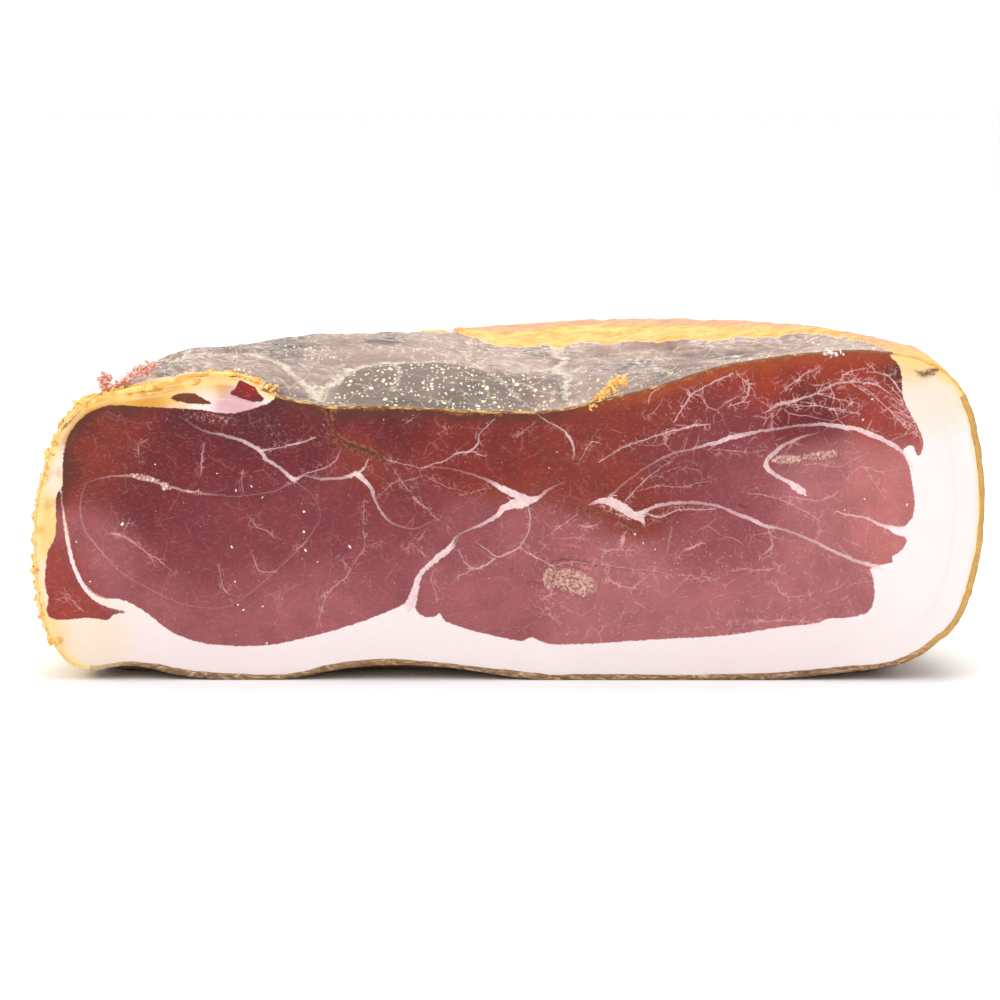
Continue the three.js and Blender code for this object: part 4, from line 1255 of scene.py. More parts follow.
@dataclass
class Meat:
    """The flesh, with the cut face cut into fine cells that carry its relief and its markings.

    Attributes:
        form: The ham's outer form.
        cell: The size of the cut face's cells, in millimetres.
        skin_room: How far the flesh keeps below the outer form at the cut face.
        deep_room: The same, well behind the cut face.
        wave: Depth of the slow unevenness that the knife left.
        fat_rise: How far fat stands above lean.
        seam_rise: How far seams stand up.
        edge: Width of the border where the relief dies away.
    """

    form: Form
    cell: float = 0.62
    skin_room: float = 0.18
    deep_room: float = 2.4
    wave: float = 0.34
    fat_rise: float = 0.14
    seam_rise: float = 0.16
    edge: float = 2.2

    def shrink(self, shape: Shape) -> None:
        """Draws the whole form in, to leave room for crust and rind, with the cut face kept on its plane."""
        front = self.form.cut.low.y + 1e-5
        shifts = []
        for vert in shape.verts:
            normal = Vector()
            for face in vert.link_faces:
                if len(face.verts) < 12:
                    normal += face.normal * face.calc_area()
            if vert.co.y < front:
                normal.y = 0
            share = min(1.0, (vert.co.y - front) / (9 * MM))
            room = self.skin_room + (self.deep_room - self.skin_room) * max(0.0, share)
            shifts.append(normal.normalized() * (room * MM))
        for vert, shift in zip(shape.verts, shifts):
            vert.co -= shift

    def slice_front(self, shape: Shape) -> None:
        """Cuts the front face into cells, first into upright strips and then across."""
        cut = self.form.cut
        waiting = self.form.front_of(shape)
        strips: list[bmesh.types.BMFace] = []
        for axis, start, end in ((0, cut.low.x, cut.high.x), (2, cut.low.z, cut.high.z)):
            count = round((end - start) / (self.cell * MM))
            for step in range(1, count):
                level = start + (end - start) * step / count
                place, normal = Vector(), Vector()
                place[axis], normal[axis] = level, 1
                edges = {edge for face in waiting for edge in face.edges}
                verts = {vert for face in waiting for vert in face.verts}
                done = bmesh.ops.bisect_plane(
                    shape, geom=[*waiting, *edges, *verts], dist=1e-8, plane_co=place, plane_no=normal
                )
                pieces = [item for item in done["geom"] if isinstance(item, bmesh.types.BMFace)]
                waiting = []
                for piece in pieces:
                    beyond = piece.calc_center_median()[axis] > level
                    (waiting if beyond else strips).append(piece)
            waiting = [*strips, *waiting]
            strips = []

    def relief(self, places: Array, marks: dict[str, Reach], lean: Array, crumb: Array) -> Array:
        """Works out how far each place of the cut face stands out, in millimetres.

        Args:
            places: Rows of drawing x and z.
            marks: How the places lie to the seams, branches, veins and cracks.
            lean: How deep the places lie inside lean.
            crumb: How crumbly they are.
        """
        height = self.wave * rough(places, 27, 5.0, 2) + 0.05 * rough(places, 5, 6.0, 2)
        height += self.fat_rise * (1 - ease(-0.5, 0.5, lean))
        height += 0.045 * rough(places, 1.5, 7.0, 3) * ease(-0.4, 0.4, lean)
        for name, rise in (("seam", self.seam_rise), ("branch", self.seam_rise * 0.7), ("vein", 0.07)):
            reach = marks[name]
            height += rise * (1 - ease(0.1, 0.7, reach.distance - reach.width / 2))
        cracks = marks["crack"]
        open_part = 1 - ease(-0.35, 0.55, cracks.distance - cracks.width / 2)
        height -= open_part * np.clip(0.1 + cracks.width * 0.7, 0, 1.1)
        torn = 0.5 * rough(places, 1.7, 8.0, 3) + 0.25 * rough(places, 4.0, 8.5, 2)
        height += np.clip(crumb, 0, 1) * torn
        for patch in PATCHES:
            height -= patch.depth * self.within(places, patch)
        return height

    def within(self, places: Array, patch: Patch) -> Array:
        """Says how far inside a patch each place is, from 0 to 1."""
        turn = math.radians(patch.turn)
        x, z = places[:, 0] - patch.x, places[:, 1] - patch.z
        along = (x * math.cos(turn) + z * math.sin(turn)) / patch.half_length
        across = (z * math.cos(turn) - x * math.sin(turn)) / patch.half_height
        return 1 - ease(0.55, 1.15, np.hypot(along, across))

    def build(self) -> bpy.types.Object:
        """Models the flesh."""
        shape = self.form.smoothed(1)
        self.shrink(shape)
        self.slice_front(shape)
        piece = finish_piece("meat", shape)
        mesh = piece.data
        spots = positions(mesh)
        drawn = self.form.cut.drawing(spots)
        front = np.flatnonzero(spots[:, 1] < self.form.cut.low.y + 1e-5)
        places = drawn[front, :2]
        ring = self.form.outline()
        lean = np.full(len(places), -FAR * 8)
        for outline in (MAIN_LEAN, LEFT_WEDGE, BROWN_STRIP, RED_PIECE):
            lean = np.maximum(lean, depth_inside(places, outline))
        drawn_lines = {"seam": SEAMS, "branch": BRANCHES, "vein": VEINS, "crack": CRACKS}
        marks = {
            name: reach_to(places, [smooth_line(stroke) for stroke in strokes])
            for name, strokes in drawn_lines.items()
        }
        crumb = np.zeros(len(places))
        for patch in PATCHES:
            crumb = np.maximum(crumb, patch.crumb * self.within(places, patch))
        closed = np.vstack([ring, ring[:1]])
        rim = reach_to(places, [np.column_stack([closed, np.zeros(len(closed))])], 30).distance
        spots[front, 1] -= self.relief(places, marks, lean, crumb) * ease(0.4, self.edge, rim) * MM
        mesh.vertices.foreach_set("co", spots.ravel())
        top = np.interp(places[:, 0], *self.form.skyline(ring)) - places[:, 1]
        x, z = places.T
        dotted = 0.16 + 0.84 * ease(0, 14, x) * (1 - ease(38, 52, z))
        marbling = 0.1 + 0.34 * dotted + 0.7 * ease(20, 45, x) * ease(60, 72, z)
        bark = (1 - ease(0.4, 6.5, top + 1.1 * rough(places, 9, 4.0, 3))) * ease(-70, -62, x)
        left_edge = (1 - ease(0.3, 4.5, lean)) * (1 - ease(-104, -90, x))
        left_edge = left_edge * ease(44, 54, z) * (1 - ease(76.4, 77.6, z))
        bark = np.maximum(bark, 0.8 * left_edge)
        aged = (1 - ease(-124, -112, x)) * ease(28, 46, z) + ease(76.5, 79, z) * (1 - ease(-86, -74, x))
        for name, values, rest in (
            ("lean_depth", lean, 5.0),
            ("crumb", crumb, 0.0),
            ("marbling", marbling, 0.0),
            ("dotted", dotted, 0.0),
            ("aged", np.clip(aged, 0, 1) * 0.6, 0.0),
            ("glow", ease(2, 40, x), 0.0),
            ("rim", (1 - ease(0.5, 4.5, rim)) * np.maximum(ease(8, 26, z), 1 - ease(-122, -112, x)), 1.0),
            ("from_rim", rim, 0.0),
            ("bark", bark, 0.0),
            ("lean_tone", blend_spots(places, LEAN_SPOTS, 0.88, 0.034), np.array(LeanTone.WINE.value)),
            ("fat_tone", blend_spots(places, FAT_SPOTS, 0.87, 0.015), np.array(FatTone.CREAM.value)),
        ):
            rows = np.zeros((len(spots), *values.shape[1:])) + rest
            rows[front] = values
            store(mesh, name, rows)
        for name, reach in marks.items():
            whole = Reach(np.full(len(spots), FAR), np.full(len(spots), FAR), np.ones(len(spots)))
            whole.distance[front] = reach.distance
            whole.side[front] = reach.side
            whole.width[front] = reach.width
            store_reach(mesh, name, whole)
        flat = drawn[:, :2].copy()
        hidden = np.ones(len(spots), bool)
        hidden[front] = False
        flat[hidden, 1] = drawn[hidden, 2] + 100
        lay_out(mesh, flat)
        mesh.update()
        return piece


@dataclass
class Shell:
    """A layer over part of the form.

    Attributes:
        form: The ham's outer form.
        thickness: The layer's thickness, in millimetres.
        lift: How far its outside lies beyond the form.
        proud: How far its front edge stands out from the cut face.
        tucked: How far it sinks where it runs under the skin.
    """

    form: Form
    thickness: float
    lift: float
    proud: float
    tucked: float = 0.0

    def keeps(self, bareness: float) -> bool:
        """Says whether a face with this bareness belongs to the layer."""
        raise NotImplementedError

    def relief(self, places: Array, front: Array) -> Array:
        """Works out how far the outside stands out, in millimetres, at rows of drawing x, z and depth."""
        raise NotImplementedError

    def flatten(self, places: Array) -> Array:
        """Lays the layer out flat for its texture."""
        raise NotImplementedError

    def drop_islands(self, shape: Shape) -> None:
        """Keeps only the largest connected part."""
        waiting, parts = set(shape.faces), []
        while waiting:
            part, edge = set(), [waiting.pop()]
            while edge:
                face = edge.pop()
                part.add(face)
                near = {other for side in face.edges for other in side.link_faces} & waiting
                waiting -= near
                edge.extend(near)
            parts.append(part)
        parts.sort(key=len)
        bmesh.ops.delete(shape, geom=[face for part in parts[:-1] for face in part], context="FACES")

    def grow(self, name: str, slot: str) -> bpy.types.Object:
        """Models the layer as a closed sheet.

        Args:
            name: The piece's name.
            slot: Not used.
        """
        cut = self.form.cut
        shape = self.form.smoothed(2)
        shape.verts.ensure_lookup_table()
        bmesh.ops.delete(shape, geom=self.form.front_of(shape), context="FACES_ONLY")
        shape.normal_update()
        drawn = cut.drawing(np.array([vert.co[:] for vert in shape.verts]))
        normals = np.array([vert.normal[:] for vert in shape.verts])
        bare = self.form.bareness(drawn, normals)
        for vert, value in zip(shape.verts, bare):
            vert.tag = bool(self.keeps(value))
        outside = [face for face in shape.faces if sum(vert.tag for vert in face.verts) * 2 < len(face.verts)]
        bmesh.ops.delete(shape, geom=outside, context="FACES")
        self.drop_islands(shape)
        front = cut.low.y + 1e-5
        for _ in range(6):
            border = [vert for vert in shape.verts if vert.is_boundary and vert.co.y > front]
            bmesh.ops.smooth_vert(
                shape, verts=border, factor=0.5, use_axis_x=True, use_axis_y=True, use_axis_z=True
            )
        shape.normal_update()
        drawn = cut.drawing(np.array([vert.co[:] for vert in shape.verts]))
        normals = np.array([vert.normal[:] for vert in shape.verts])
        bare = self.form.bareness(drawn, normals)
        tuck = self.tucked * (1 - ease(-0.14, 0.0, bare)) * ease(2, 8, drawn[:, 2])
        heights = self.relief(drawn, ease(0, 7, drawn[:, 2])) - tuck
        for vert, height in zip(list(shape.verts), heights):
            push = vert.normal * ((self.lift + height) * MM)
            vert.co.x += push.x
            vert.co.z += push.z
            vert.co.y = vert.co.y - self.proud * MM if vert.co.y < front else vert.co.y + push.y
        bmesh.ops.solidify(shape, geom=shape.faces[:], thickness=self.thickness * MM)
        limit = cut.low.y - self.proud * MM
        for vert in shape.verts:
            vert.co.y = max(vert.co.y, limit)
            vert.co.z = max(vert.co.z, cut.low.z)
        if shape.calc_volume(signed=True) < 0:
            bmesh.ops.reverse_faces(shape, faces=shape.faces)
        piece = finish_piece(name, shape)
        lay_out(piece.data, self.flatten(cut.drawing(positions(piece.data))))
        return piece


def pushed_out(places: Array, amount: Array) -> Array:
    """Moves drawing places outwards in plan, from the middle of the ham, by an amount in millimetres."""
    plan = places[:, [0, 2]] - np.array([0.0, 40.0])
    reach = np.hypot(plan[:, 0] / 1.4, plan[:, 1]) + 1e-6
    share = ease(0, 60, reach)
    away = plan / np.hypot(plan[:, 0], plan[:, 1])[:, None].clip(1e-6)
    return places[:, [0, 2]] + away * (amount * share)[:, None]


@dataclass
class Rind(Shell):
    """The smoked skin under the ham, up its back and round its right end."""

    thickness: float = 1.8
    lift: float = 0.2
    proud: float = 0.16

    def keeps(self, bareness: float) -> bool:
        """Keeps what wasn't trimmed."""
        return bareness < 0

    def relief(self, places: Array, front: Array) -> Array:
        """Gives slow waves and finer wrinkles, which die away at the cut."""
        waves = 0.7 * rough(places, 26, 11.0, 2) + 0.35 * rough(places, 8, 12.0, 3)
        folds = 0.5 - 1.1 * np.abs(rough(places * np.array([0.6, 1.5, 1.0]), 11, 13.0, 4))
        swell = np.maximum(waves + folds, -0.9) * (0.12 + 0.88 * front)
        fine = (0.12 + 0.2 * (1 - front)) * rough(places * np.array([1.0, 1.0, 0.3]), 2.4, 15.0, 3)
        return (swell + fine) * (0.3 + 0.7 * ease(0, 12, places[:, 1]))

    def flatten(self, places: Array) -> Array:
        """Opens the walls out round the underside."""
        return pushed_out(places, places[:, 1] * 0.9)

    def build(self) -> bpy.types.Object:
        """Models the rind and marks its underside."""
        piece = self.grow("rind", "rind")
        places = self.form.cut.drawing(positions(piece.data))
        under = 1 - ease(8, 30, places[:, 1] + 5 * rough(places, 16, 14.0, 3))
        store(piece.data, "underside", np.maximum(under, 0.8 * (1 - ease(-60, 40, places[:, 0]))))
        store(piece.data, "cut_edge", 0.9 * (1 - ease(0.1, 1.1, places[:, 2])))
        store(piece.data, "golden", 0.9 * ease(3, 12, places[:, 1]))
        store(piece.data, "whitish", 1 - ease(-118, -100, places[:, 0]))
        return piece


@dataclass
class DriedCrust(Shell):
    """The dried flesh side on top, and the trimmed fat at the left end and along the back rim.

    Attributes:
        rim_inside: Where the rim of fat begins, as plan x and depth; beyond it all is fat.
        plan_seams: Pale lines on top, as plan x, depth and width.
    """

    thickness: float = 0.65
    lift: float = -0.05
    proud: float = 0.12
    tucked: float = 2.6
    rim_inside: list[Point] = field(default_factory=lambda: [
        (-40, 170), (-30, 142), (-27, 128), (-22, 127), (-19, 138), (-17, 122), (-9, 115), (0, 109),
        (20, 110), (40, 103), (65, 90), (85, 78), (96, 66), (101, 50), (104, 30), (107, -40),
    ])
    plan_seams: list[Stroke] = field(default_factory=lambda: [
        [(-54, 6, 3.0), (-55, 12, 3.4), (-59, 20, 2.6), (-66, 30, 2.2), (-78, 39, 2.0), (-92, 29, 1.6),
         (-104, 26, 1.2)],
        [(-54, 14, 2.0), (-51, 21, 2.4), (-46, 35, 2.2), (-34, 48, 2.0), (-29, 50, 1.6), (-21, 58, 1.6),
         (-15, 55, 1.2)],
        [(-15, 92, 0.8), (-12, 66, 1.2), (-5, 46, 1.0), (0, 28, 1.0), (5, 10, 0.7)],
        [(15, 116, 3.6), (13, 98, 3.0), (16, 80, 2.2), (13, 60, 2.4), (16, 42, 2.6), (15, 20, 2.0),
         (17, 6, 1.4)],
        [(-2, 92, 0.7), (4, 68, 1.2), (8, 55, 1.3), (12, 50, 0.8)],
        [(5, 62, 0.5), (0, 50, 0.8), (-3, 40, 0.4)],
        [(-34, 48, 0.8), (-32, 32, 1.0), (-35, 16, 0.6)],
        [(60, 12, 0.6), (66, 30, 0.9), (80, 48, 0.6)],
    ])

    def keeps(self, bareness: float) -> bool:
        """Keeps what was trimmed, and a strip that runs under the rind."""
        return bareness > -0.2

    def beyond_rim(self, places: Array) -> Array:
        """Says how far each drawing place lies beyond the inner edge of the rim of fat, in millimetres."""
        rim = np.array(self.rim_inside, float)
        wander = 3.0 * rough(places, 9, 25.0, 3)
        return places[:, 2] + wander * 0.6 - np.interp(places[:, 0] + wander * 0.3, rim[:, 0], rim[:, 1])

    def trimmed_end(self, places: Array) -> Array:
        """Says where the trimmed left end's fat is, from 0 to 1, with the ledge above the left muscle."""
        x, z, depth = places.T
        around = np.degrees(np.arctan2(depth, -x))
        wall = (1 - ease(42, 50, around + 5 * rough(places, 14, 26.0, 3))) * (1 - ease(-104, -94, x))
        wall *= 1 - ease(77, 83, z + 1.5 * rough(places, 6, 28.0, 3))
        ledge = (1 - ease(3, 9, depth + 3 * rough(places, 7, 27.0, 3))) * (1 - ease(-74, -64, x))
        return np.maximum(wall, ledge)

    def relief(self, places: Array, front: Array) -> Array:
        """Gives sunken seams, drying creases and small knobs, a raised rim and the torn left end."""
        creases = 0.5 - 1.0 * np.abs(rough(places * np.array([0.7, 1.0, 1.5]), 13, 21.0, 4))
        knobs = 0.3 * rough(places, 4.5, 22.0, 3)
        slow = 0.7 * rough(places, 34, 23.0, 2)
        plan = places[:, [0, 2]]
        seams = reach_to(plan, [smooth_line(stroke, 2.0) for stroke in self.plan_seams], 8)
        sunk = 1 - ease(0.5, 4.5, seams.distance)
        body = np.maximum(creases + knobs + slow - 0.8 * sunk, -1.3) * (0.12 + 0.88 * front)
        rim = 1.3 * ease(-1, 3, self.beyond_rim(places)) * ease(10, 30, places[:, 2])
        end = self.trimmed_end(places)
        torn = end * (0.7 * rough(places, 6.5, 24.0, 4) + 0.5 * rough(places, 2.6, 24.5, 3) + 0.3)
        lip = 0.22 * rough(places, 2.2, 29.0, 3) * (1 - front)
        x, _, depth = places.T
        bulge = 2.3 * ease(-116, -105, x) * (1 - ease(-94, -78, x))
        bulge = bulge * ease(2, 11, depth) * (1 - ease(40, 62, depth))
        return np.minimum(body * (1 - 0.5 * end) + rim + torn + lip + bulge, 0.4 + 4 * front)

    def flatten(self, places: Array) -> Array:
        """Opens the walls out round the top."""
        return pushed_out(places, (96 - places[:, 1]).clip(0) * 0.9)

    def build(self) -> bpy.types.Object:
        """Models the crust and marks where it is fat, and where specks are thick on it."""
        piece = self.grow("dried_crust", "crust")
        mesh, cut = piece.data, self.form.cut
        places = cut.drawing(positions(mesh))
        x, _, depth = places.T
        beyond, end = self.beyond_rim(places), self.trimmed_end(places)
        store(mesh, "fatty", np.clip(np.maximum(ease(-2, 2, beyond), end), 0, 1))
        store(mesh, "cut_edge", 1 - ease(0.1, 1.1, depth))
        limit = np.interp(
            x, [-51, -46, -34, -29, -21, -15, 0, 10, 40, 90], [21, 35, 48, 50, 58, 55, 50, 42, 34, 26]
        )
        spread = (1 - ease(-5, 4, depth + 3 * rough(places, 12, 30.0, 2) - limit)) * ease(-54, -47, x)
        store(mesh, "speckled", spread * (1 - 0.6 * ease(-4, 20, x)) * (1 - ease(50, 95, x)))
        store(mesh, "browned", ease(14, 40, x))
        store(mesh, "dusky", ease(-80, -62, x) * (1 - ease(-34, -16, x)) * (1 - 0.5 * ease(30, 90, depth)))
        store(mesh, "pale_end", end)
        band = np.interp(x, [-17, 11, 40, 84, 105, 125], [7, 17, 16, 9, 6, 11])
        outer = ease(0.72, 1.0, beyond / band + 0.12 * rough(places, 7, 31.0, 3))
        store(mesh, "skin", outer * ease(8, 40, depth))
        lines = [smooth_line(stroke, 2.0) for stroke in self.plan_seams]
        store_reach(mesh, "seam", reach_to(places[:, [0, 2]], lines, 6))
        return piece


def jitter(verts: Iterable[bmesh.types.BMVert], amount: float, dice: random.Random) -> None:
    """Moves vertices about at random, by up to amount metres along each axis."""
    for vert in verts:
        vert.co += Vector([dice.uniform(-amount, amount) for _ in range(3)])


@dataclass
class Grains:
    """Many small lumps that sit on surfaces of the ham.

    Attributes:
        name: The piece's name.
        slot: Not used.
        seed: The start of its chance.
        rough_share: How uneven each lump is, as a share of its size.
    """

    name: str
    slot: str
    seed: int
    rough_share: float = 0.25
    shape: Shape = field(default_factory=bmesh.new)

    def __post_init__(self) -> None:
        """Starts its chance."""
        self.dice = random.Random(self.seed)

    def add(self, place: Vector, normal: Vector, size: float, flat: float = 0.6) -> None:
        """Adds a lump.

        Args:
            place: Where it sits.
            normal: The surface's outward direction.
            size: Its width, in millimetres.
            flat: Its height as a share of its width.
        """
        turn = normal.to_track_quat("Z", "Y").to_matrix()
        made = bmesh.ops.create_icosphere(self.shape, subdivisions=1, radius=size * MM / 2)["verts"]
        jitter(made, size * MM * self.rough_share / 2, self.dice)
        long = self.dice.uniform(1.0, 1.0 + 2 * self.rough_share)
        bmesh.ops.scale(self.shape, vec=(long, 1 / long, flat), verts=made)
        spin = Matrix.Rotation(self.dice.uniform(0, math.tau), 3, "Z")
        bmesh.ops.rotate(self.shape, verts=made, matrix=spin)
        bmesh.ops.rotate(self.shape, verts=made, matrix=turn)
        bmesh.ops.translate(self.shape, vec=place, verts=made)

    def cluster(self, place: Vector, spread: float, count: int, size: float) -> None:
        """Heaps lumps of up to a size round a place, within a spread, both in millimetres."""
        for _ in range(count):
            shift = Vector([self.dice.gauss(0, 0.5) * spread * MM for _ in range(3)])
            facing = Vector([self.dice.uniform(-1, 1) for _ in range(3)])
            self.add(place + shift, facing, size * self.dice.uniform(0.45, 1.0), 0.6)

    def build(self) -> bpy.types.Object:
        """Makes the piece."""
        return finish_piece(self.name, self.shape)


@dataclass
class Shreds:
    """Thin strips of fat or lean that stand up from the trimmed edge.

    Attributes:
        cut: Where the drawing lies.
        name: The piece's name.
        slot: Not used.
        shape: What has been modelled so far.
    """

    cut: CutPlane
    name: str
    slot: str
    shape: Shape = field(default_factory=bmesh.new)

    def sweep(self, path: Sequence[tuple[float, float, float, float]], flat: float = 0.5) -> None:
        """Draws an oval strip along a path.

        Args:
            path: Rows of drawing x, z, distance out of the cut face, and width, in millimetres.
            flat: Its thickness as a share of its width.
        """
        rows = smooth_line(path, 0.6)
        spots = [self.cut.place(*row[:3]) for row in rows]
        widths = [max(row[3], 0.15) * MM for row in rows]
        heading = (spots[1] - spots[0]).normalized()
        made = bmesh.ops.create_circle(self.shape, cap_ends=True, segments=8, radius=widths[0] / 2)["verts"]
        bmesh.ops.scale(self.shape, vec=(1, flat, 1), verts=made)
        bmesh.ops.rotate(self.shape, verts=made, matrix=heading.to_track_quat("Z", "Y").to_matrix())
        bmesh.ops.translate(self.shape, vec=spots[0], verts=made)
        cap = made[0].link_faces[0]
        back = bmesh.ops.duplicate(self.shape, geom=[cap])["geom"]
        back = [item for item in back if isinstance(item, bmesh.types.BMFace)]
        bmesh.ops.reverse_faces(self.shape, faces=back)
        for spot, following, width, wider in zip(spots, spots[1:], widths, widths[1:]):
            grown = bmesh.ops.extrude_face_region(self.shape, geom=[cap])["geom"]
            bmesh.ops.delete(self.shape, geom=[cap], context="FACES_ONLY")
            ring = [item for item in grown if isinstance(item, bmesh.types.BMVert)]
            cap = next(item for item in grown if isinstance(item, bmesh.types.BMFace))
            bmesh.ops.translate(self.shape, vec=following - spot, verts=ring)
            for vert in ring:
                vert.co = following + (vert.co - following) * (wider / width)
        bmesh.ops.remove_doubles(self.shape, verts=self.shape.verts, dist=1e-7)

    def build(self) -> bpy.types.Object:
        """Makes the piece."""
        bmesh.ops.recalc_face_normals(self.shape, faces=self.shape.faces)
        return finish_piece(self.name, self.shape)


# ---- studio


@dataclass
class Studio:
    """A white table, soft light and the camera.

    Attributes:
        cut: Where the cut face lies.
        distance: From the camera to the cut face, in millimetres.
        eye_height: The camera's height above the table.
        aim: The drawing place that the camera looks at.
        lens: The focal length, in millimetres.
    """

    cut: CutPlane
    distance: float = 1000.0
    eye_height: float = 185.5
    aim: Point = (-3.3, 50.6)
    lens: float = 131.0

    def build(self) -> None:
        """Sets up everything that isn't the ham."""
        bpy.context.scene.view_settings.view_transform = "Standard"
        self.build_table()
        self.build_lights()
        self.build_camera()

    def build_table(self) -> None:
        """Makes a wide white table top."""
        shape = bmesh.new()
        bmesh.ops.create_grid(shape, x_segments=1, y_segments=1, size=6.0)
        bmesh.ops.translate(shape, vec=(0, 0, self.cut.low.z - 0.1 * MM), verts=shape.verts)
        mesh = bpy.data.meshes.new("table")
        shape.to_mesh(mesh)
        shape.free()
        table = bpy.data.objects.new("table", mesh)
        bpy.context.scene.collection.objects.link(table)
        material, _, surface = new_finish("table_white", 0.9)
        surface.inputs["Base Color"].default_value = (0.94, 0.94, 0.94, 1)
        surface.inputs["Specular IOR Level"].default_value = 0.1
        mesh.materials.append(material)

    def build_lights(self) -> None:
        """Makes an even white surround, a large overhead panel and a front panel."""
        world = bpy.data.worlds.new("surround")
        world.use_nodes = True
        shade = world.node_tree.nodes["Background"]
        shade.inputs["Color"].default_value = (1, 1, 1, 1)
        shade.inputs["Strength"].default_value = 1.06
        bpy.context.scene.world = world
        for name, place, size, power in (
            ("overhead", Vector((0.1, 0.2, 1.1)), 0.8, 7.0),
            ("front_left", Vector((-0.8, -0.8, 0.7)), 0.5, 2.6),
        ):
            panel = bpy.data.lights.new(name, "AREA")
            panel.size, panel.energy = size, power
            lamp = bpy.data.objects.new(name, panel)
            lamp.location = place
            lamp.rotation_mode = "QUATERNION"
            lamp.rotation_quaternion = (Vector((0, -0.03, 0.05)) - place).to_track_quat("-Z", "Y")
            bpy.context.scene.collection.objects.link(lamp)

    def build_camera(self) -> None:
        """Makes the camera."""
        lens = bpy.data.cameras.new("camera")
        lens.lens, lens.sensor_width = self.lens, 36.0
        camera = bpy.data.objects.new("camera", lens)
        camera.location = self.cut.place(0, 0, self.distance) + Vector((0, 0, self.eye_height * MM))
        target = self.cut.place(*self.aim)
        camera.rotation_mode = "QUATERNION"
        camera.rotation_quaternion = (target - camera.location).to_track_quat("-Z", "Y")
        bpy.context.scene.collection.objects.link(camera)
        bpy.context.scene.camera = camera


# ---- main


def scatter_crystals(form: Form, meat: bpy.types.Object) -> Grains:
    """Puts salt crystals on the cut face: the noticeable ones, and finer ones at random."""
    grains = Grains("salt_crystals", "salt", seed=7, rough_share=0.3)
    face = BVHTree.FromObject(meat, bpy.context.evaluated_depsgraph_get())
    fine = [
        (grains.dice.uniform(-124, 108), grains.dice.uniform(12, 84), grains.dice.uniform(0.16, 0.34))
        for _ in range(320)
    ]
    for x, z, size in [*CRYSTALS, *fine]:
        place, normal, _, _ = face.ray_cast(form.cut.place(x, z, 20), Vector((0, 1, 0)), 30 * MM)
        if place is None:
            place, normal = form.cut.place(x, z, -0.8), Vector((0, -0.5, 0.87))
        grains.add(place, normal, size * 0.72, 0.45)
    return grains


def scatter_crumbs(form: Form, meat: bpy.types.Object) -> Grains:
    """Puts crumbs of dried meat in the torn places."""
    grains = Grains("crumbs", "lean", seed=11, rough_share=0.55)
    face = BVHTree.FromObject(meat, bpy.context.evaluated_depsgraph_get())
    for patch in PATCHES:
        if patch.crumb < 0.6:
            continue
        turn = math.radians(patch.turn)
        for _ in range(round(patch.half_length * patch.half_height * 3.0)):
            angle, reach = grains.dice.uniform(0, math.tau), math.sqrt(grains.dice.random()) * 0.95
            along = patch.half_length * reach * math.cos(angle)
            across = patch.half_height * reach * math.sin(angle)
            x = patch.x + along * math.cos(turn) - across * math.sin(turn)
            z = patch.z + along * math.sin(turn) + across * math.cos(turn)
            place, normal, _, _ = face.ray_cast(form.cut.place(x, z, 20), Vector((0, 1, 0)), 30 * MM)
            if place is not None:
                grains.add(place, normal, 0.35 + 0.9 * grains.dice.random() ** 2, 0.6)
    return grains


def scatter_frays(form: Form) -> Grains:
    """Puts ragged bits of fat along the trimmed left end and on the ledge above the left muscle."""
    grains = Grains("fat_frays", "fat", seed=5, rough_share=0.4)
    ring = form.outline()
    middle = np.array([-60.0, 45.0])
    edge = ring[(ring[:, 0] < -66) & (ring[:, 1] > 9)]
    edge = edge[~((edge[:, 0] > -118) & (edge[:, 1] < 40))]
    for _ in range(520):
        start = edge[grains.dice.randrange(len(edge))]
        start = start + np.array([grains.dice.uniform(-1, 1) for _ in range(2)])
        out = (start - middle) / np.linalg.norm(start - middle)
        upright = max(out[1], 0)
        size = 0.9 + (2.6 - 1.2 * upright) * grains.dice.random() ** 2
        back = 0.4 + 5 * grains.dice.random() ** 1.5
        x, z = start - out * size * grains.dice.uniform(0.1, 0.5) + np.array([0, 0.12 * back * upright])
        grains.add(form.cut.place(x, z, -back), Vector((out[0], 0, out[1])), size, 0.8)
    # Crumbs that cling to the end, low down, and a torn shred above the middle.
    for z, size in (
        (27.5, 1.8), (25.2, 2.2), (23, 2.6), (20.8, 2.6), (18.4, 2.0), (15.6, 1.8), (12.6, 1.6),
        (62, 1.8), (68, 2),
    ):
        x = edge[:, 0][np.abs(edge[:, 1] - z).argmin()]
        grains.cluster(form.cut.place(x + 0.3, z, -1.0), 0.9, 6, size)
    for x, z in ((22.6, 77), (23.8, 78.2), (25, 79.4), (26.2, 80.8), (27.4, 82), (28.8, 83), (30.4, 83.6)):
        grains.cluster(form.cut.place(x, z, -0.8), 1.3, 7, 2.3)
    return grains


def scatter_tatters(form: Form) -> Grains:
    """Puts two torn tufts of pinkish meat behind the ledge."""
    grains = Grains("lean_tatters", "lean", seed=13, rough_share=0.45)
    for path in (
        [(-112.6, 80.4), (-112.9, 82), (-113.4, 83.4), (-112.2, 84.2), (-113.0, 85.2)],
        [(-110.4, 81), (-109, 82), (-107.6, 83), (-106.2, 83.8), (-105, 85), (-103.8, 85.8), (-102.8, 87.2),
         (-101.6, 86.4), (-100.4, 87.6)],
    ):
        for x, z in path:
            grains.cluster(form.cut.place(x, z, -4.2), 1.1, 8, 1.9)
    return grains


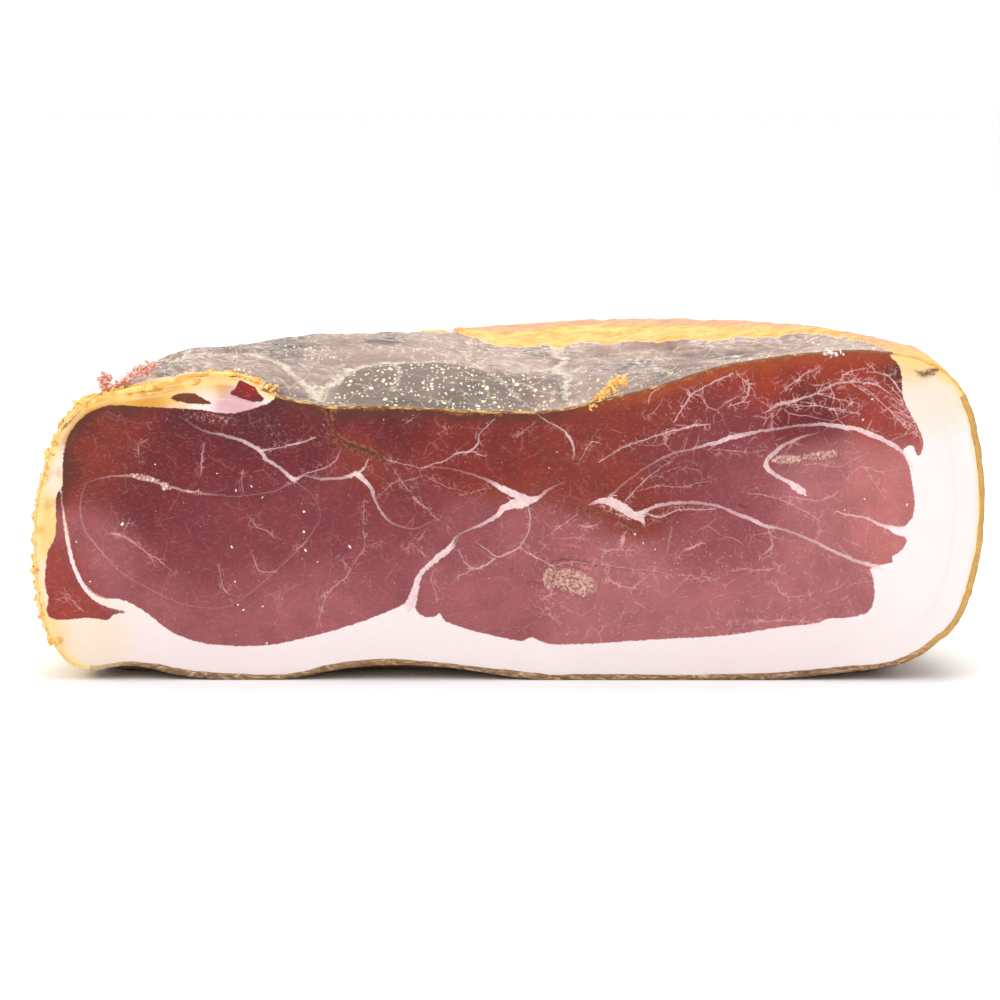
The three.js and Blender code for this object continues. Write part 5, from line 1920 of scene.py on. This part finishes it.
def lay_fat_shreds(cut: CutPlane) -> Shreds:
    """Lays the fold along the ledge, and the folds and the curl at its left end."""
    shreds = Shreds(cut, "fat_shreds", "fat")
    ledge = [
        (-120, 75.2, -0.9, 1.4), (-115, 78.4, -0.5, 2.2), (-108, 80.6, -0.4, 1.8), (-101, 81.8, -0.1, 2.6),
        (-96, 82.9, -0.3, 1.8), (-91, 84.4, -0.6, 2.4), (-87, 85.4, -0.6, 1.7), (-81, 85.5, -0.9, 2.2),
        (-75, 85.2, -1, 1.5), (-70, 83.4, -1, 1),
    ]
    inner = [(-106, 79.8, -0.2, 0.8), (-99, 80.4, 0.1, 1.6), (-93, 81.6, 0, 1.4), (-87, 82.8, -0.2, 0.7)]
    end = [(-124.6, 70, -1.2, 1), (-122.4, 73, -0.8, 1.8), (-119.6, 75.8, -0.6, 1.5), (-116, 78, -0.8, 0.8)]
    curl = [
        (-116.6, 79.6, -1.2, 2.2), (-119.4, 78, -1, 2.4), (-121.6, 78, -1, 2.2), (-123, 79.8, -1, 1.6),
        (-124.4, 82, -1.4, 0.7),
    ]
    corner = [
        (-120.6, 76.4, 0, 1.2), (-118.6, 77.6, 0.2, 1.8), (-116.2, 79, -0.4, 1.6), (-113.6, 80.4, -1.4, 0.6),
    ]
    for path, flat in ((ledge, 0.8), (inner, 0.7), (end, 0.7), (curl, 0.5), (corner, 0.5)):
        shreds.sweep(path, flat)
    return shreds


def main() -> None:
    """Builds the ham's pieces in order, gives them their finishes, and sets up the studio."""
    logging.basicConfig(level=logging.INFO, format="%(name)s: %(message)s")
    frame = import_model()
    cut = CutPlane(*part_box(NODE))
    form = Form(frame["nodes"][NODE].data, cut)
    effects = Effects()
    pieces: list[tuple[bpy.types.Object, bpy.types.Material]] = []
    meat = Meat(form).build()
    pieces.append((meat, CutFleshFinish().make(effects)))
    rind = Rind(form).build()
    pieces.append((rind, RindFinish().make(effects)))
    pieces.append((DriedCrust(form).build(), CrustFinish().make(effects)))
    salt = MorselFinish("salt", linear(250, 244, 240), linear(226, 206, 200), 0.35, 0.5)
    pieces.append((scatter_crystals(form, meat).build(), salt.make(effects)))
    crumb = MorselFinish("dry_crumb", linear(222, 174, 160), linear(160, 100, 88), 0.75, 0.8)
    pieces.append((scatter_crumbs(form, meat).build(), crumb.make(effects)))
    dry_fat = MorselFinish("dry_fat", linear(248, 208, 118), linear(232, 162, 66), 0.45, 2.0).make(effects)
    pieces.append((scatter_frays(form).build(), dry_fat))
    pieces.append((lay_fat_shreds(cut).build(), dry_fat))
    tatter = MorselFinish("dry_lean", linear(246, 196, 182), linear(220, 150, 134), 0.5, 1.2)
    pieces.append((scatter_tatters(form).build(), tatter.make(effects)))
    for piece, material in pieces:
        piece.data.materials.append(material)
        LOG.info("%s: %d faces", piece.name, len(piece.data.polygons))
    Studio(cut).build()


if __name__ == "__main__":
    main()
